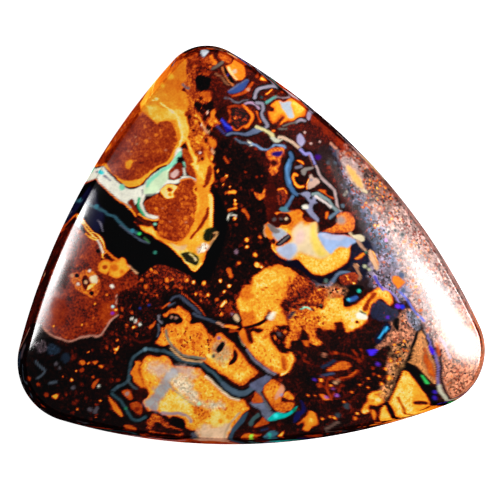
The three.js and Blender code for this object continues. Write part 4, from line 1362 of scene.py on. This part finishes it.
def wall_profile(sizes):
    """How far in and how high each row of the wall lies, in metres, from the face down to the back."""
    rows = []
    for step in reversed(range(ROUNDING_STEPS)):
        turn = step / ROUNDING_STEPS * math.pi / 2
        rows.append((sizes.wall_lean + sizes.rounding * (1 - math.cos(turn)),
                     sizes.wall_top - sizes.rounding * (1 - math.sin(turn))))
    top = sizes.wall_top - sizes.rounding
    for step in range(1, sizes.wall_steps + 1):
        part = 1 - step / sizes.wall_steps
        rows.append((sizes.wall_lean * part, sizes.chamfer + (top - sizes.chamfer) * part))
    rows.append((sizes.chamfer, 0.0))
    return np.array(rows)


def stone_mesh(sizes):
    """A square net for the face, its edge drawn out row by row for the wall, and one face across the back."""
    net = bmesh.new()
    share_layer = net.verts.layers.float.new("share")
    reach_layer = net.verts.layers.float.new("reach")
    row_layer = net.verts.layers.float.new("row")
    bmesh.ops.create_grid(net, x_segments=sizes.face_steps, y_segments=sizes.face_steps, size=1)

    # The share runs once round each square of the net, clockwise from its upper left corner.
    for vert in net.verts:
        u, v = vert.co.x, vert.co.y
        reach = max(abs(u), abs(v))
        vert[reach_layer] = reach
        if reach > 0:
            u, v = u / reach, v / reach
            if v > ON_EDGE:
                vert[share_layer] = (u + 1) / 8
            elif u > ON_EDGE:
                vert[share_layer] = 0.25 + (1 - v) / 8
            elif v < -ON_EDGE:
                vert[share_layer] = 0.5 + (1 - u) / 8
            else:
                vert[share_layer] = 0.75 + (v + 1) / 8
    for row in range(len(wall_profile(sizes))):
        rim = [edge for edge in net.edges if edge.is_boundary]
        made = bmesh.ops.extrude_edge_only(net, edges=rim)
        for vert in made["geom"]:
            if isinstance(vert, bmesh.types.BMVert):
                vert[row_layer] = row + 1
    bmesh.ops.holes_fill(net, edges=[edge for edge in net.edges if edge.is_boundary], sides=0)
    for face in net.faces:
        face.material_index = int(max(vert[row_layer] for vert in face.verts) > 0.5)
    mesh = bpy.data.meshes.new("opal_stone")
    net.to_mesh(mesh)
    net.free()
    return mesh


def read_values(mesh, name):
    values = np.zeros(len(mesh.vertices), np.float32)
    mesh.attributes[name].data.foreach_get("value", values)
    return values.astype(float)


# Places of the wall painted nearly as light as the face, in picture pixels with their spread, and the share
# of the face's light that the rest of the wall is painted with, as painted shade.
PAINTED_LIT_WALL = ((140, 115, 90), (405, 418, 45))
PAINTED_WALL_SHADE = 0.45


def build_stone(sizes, stage):
    """The stone's mesh, with its points in place and its paint, painted shade on the wall included, as
    attributes.
    """
    mesh = stone_mesh(sizes)
    share = read_values(mesh, "share") % 1.0
    reach, row = read_values(mesh, "reach"), read_values(mesh, "row").round().astype(int)
    for name in ("share", "reach", "row"):
        mesh.attributes.remove(mesh.attributes[name])
    rows = np.vstack([[sizes.wall_lean + sizes.rounding, sizes.wall_top], wall_profile(sizes)])
    points = place_on_face(sizes, share, reach)
    on_wall = row > 0
    ring = outline_points(share[on_wall], rows[row[on_wall], 0] / MM) - outline_box_middle()
    points[on_wall] = np.column_stack([ring * MM, rows[row[on_wall], 1]])
    mesh.vertices.foreach_set("co", points.astype(np.float32).ravel())

    # On the wall the pattern of the face folds over the edge.
    below = sizes.wall_top - points[:, 2]
    folded = place_on_face(sizes, share, np.where(on_wall, 1 - below / FOLD, reach))
    x, y = to_picture(stage, folded)
    canvas = Canvas(x, y)
    paint_stone(canvas)
    # The wall's iron, grit and opal are darkened here as painted shade, and painted lighter again near the
    # lit places.
    painted_lit = sum(np.exp(-((x - place[0]) ** 2 + (y - place[1]) ** 2) / place[2] ** 2) for place in PAINTED_LIT_WALL)
    painted_shade = np.where(on_wall, PAINTED_WALL_SHADE + (1 - PAINTED_WALL_SHADE) * np.minimum(painted_lit, 0.9), 1.0)
    add_values(mesh, "iron", canvas.iron * painted_shade)
    add_values(mesh, "mottle", canvas.mottle)
    add_values(mesh, "grit", canvas.grit * painted_shade)
    cover = mesh.attributes.new("opal", "FLOAT_COLOR", "POINT")
    cover.data.foreach_set("color", (canvas.opal * painted_shade[:, None]).astype(np.float32).ravel())
    return mesh


def add_values(mesh, name, values):
    mesh.attributes.new(name, "FLOAT", "POINT").data.foreach_set("value", values.astype(np.float32))


class OPAL_OT_stone(bpy.types.Operator):
    """Build the polished stone with its markings"""
    bl_idname = "opal.stone"
    bl_label = "Build the stone"

    def execute(self, context):
        sizes = context.scene.opal_stone
        mesh = build_stone(sizes, context.scene.opal_stage)
        net = bmesh.new()
        net.from_mesh(mesh)
        bmesh.ops.recalc_face_normals(net, faces=net.faces)
        for face in net.faces:
            face.smooth = len(face.verts) == 4
        net.to_mesh(mesh)
        net.free()
        mesh.materials.append(stone_material("polished_face", sizes, 1.0))
        mesh.materials.append(stone_material("sawn_side", sizes, sizes.side_polish))
        stone = bpy.data.objects.new("opal_stone", mesh)
        context.scene.collection.objects.link(stone)
        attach(stone, "root")
        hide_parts(NODE)
        return {"FINISHED"}


# Stage

# Distance of the lamps from the stone, in metres, and the light of the room: what the stone mirrors, and
# what is added where the camera sees it.
LAMP_DISTANCE = 0.6
DARK_ROOM = 0.03
PALE_ROOM = 0.85


def add_lamp(name, brightness, azimuth, elevation, roll, size):
    """An oval softbox aimed at the stone. Angles are in degrees, azimuth from the right by the far side."""
    width, height = size
    data = bpy.data.lights.new(name, "AREA")
    data.shape = "ELLIPSE"
    data.size, data.size_y = width, height
    data.energy = brightness * math.pi * width * height * math.pi / 4
    lamp = bpy.data.objects.new(name, data)
    bpy.context.scene.collection.objects.link(lamp)
    a, e = math.radians(azimuth), math.radians(elevation)
    away = Vector((math.cos(a) * math.cos(e), math.sin(a) * math.cos(e), math.sin(e)))
    lamp.location = away * LAMP_DISTANCE
    turn = Quaternion((0, 0, 1), math.radians(roll))
    lamp.rotation_euler = (away.to_track_quat("Z", "Y") @ turn).to_euler()
    lamp.visible_camera = False


class OPAL_OT_stage(bpy.types.Operator):
    """Build the floor, the lamps and the camera of the picture"""
    bl_idname = "opal.stage"
    bl_label = "Build the stage"

    def execute(self, context):
        settings = context.scene.opal_stage
        net = bmesh.new()
        bmesh.ops.create_grid(net, x_segments=1, y_segments=1, size=settings.floor_width / 2)
        mesh = bpy.data.meshes.new("floor")
        net.to_mesh(mesh)
        net.free()
        mesh.materials.append(plain_material("pale_floor", (0.85, 0.85, 0.85), 0.9, settings.floor_glow))
        floor = bpy.data.objects.new("floor", mesh)
        context.scene.collection.objects.link(floor)

        add_lamp("left_lamp", settings.left_lamp, azimuth=159.6, elevation=23.6, roll=3, size=(0.18, 0.14))
        add_lamp("right_lamp", settings.right_lamp, azimuth=8, elevation=39.5, roll=-20, size=(0.41, 0.22))

        world = bpy.data.worlds.new("dim_room")
        world.use_nodes = True
        n = Nodes(world.node_tree)
        seen = n.add("LightPath", output="Is Camera Ray")
        glow = DARK_ROOM + seen * PALE_ROOM
        room = n.add("Background", {}, {"Color": (1, 1, 1, 1), "Strength": glow})
        n.add("OutputWorld", {}, {"Surface": room})
        context.scene.world = world

        data = bpy.data.cameras.new("camera")
        data.sensor_width = SENSOR
        data.lens = SENSOR * settings.distance / settings.frame_width
        data.clip_start, data.clip_end = 0.01, 10
        camera = bpy.data.objects.new("camera", data)
        context.scene.collection.objects.link(camera)
        eye, right, up, back = camera_axes(settings)
        camera.location = eye
        camera.rotation_euler = Matrix((right, up, back)).transposed().to_euler()
        context.scene.camera = camera
        context.scene.view_settings.view_transform = "Standard"
        return {"FINISHED"}


class OPAL_PT_panel(bpy.types.Panel):
    bl_idname = "OPAL_PT_panel"
    bl_label = "Boulder opal"
    bl_space_type = "VIEW_3D"
    bl_region_type = "UI"
    bl_category = "Opal"

    def draw(self, context):
        column = self.layout.column()
        column.operator("opal.stone")
        column.operator("opal.stage")
        for name in StoneSettings.__annotations__:
            column.prop(context.scene.opal_stone, name)
        for name in StageSettings.__annotations__:
            column.prop(context.scene.opal_stage, name)


CLASSES = (StoneSettings, StageSettings, OPAL_OT_stone, OPAL_OT_stage, OPAL_PT_panel)


def register():
    for kind in CLASSES:
        bpy.utils.register_class(kind)
    bpy.types.Scene.opal_stone = PointerProperty(type=StoneSettings)
    bpy.types.Scene.opal_stage = PointerProperty(type=StageSettings)


def unregister():
    del bpy.types.Scene.opal_stage
    del bpy.types.Scene.opal_stone
    for kind in reversed(CLASSES):
        bpy.utils.unregister_class(kind)


def main():
    register()
    bpy.ops.opal.stone()
    bpy.ops.opal.stage()


if __name__ == "__main__":
    main()
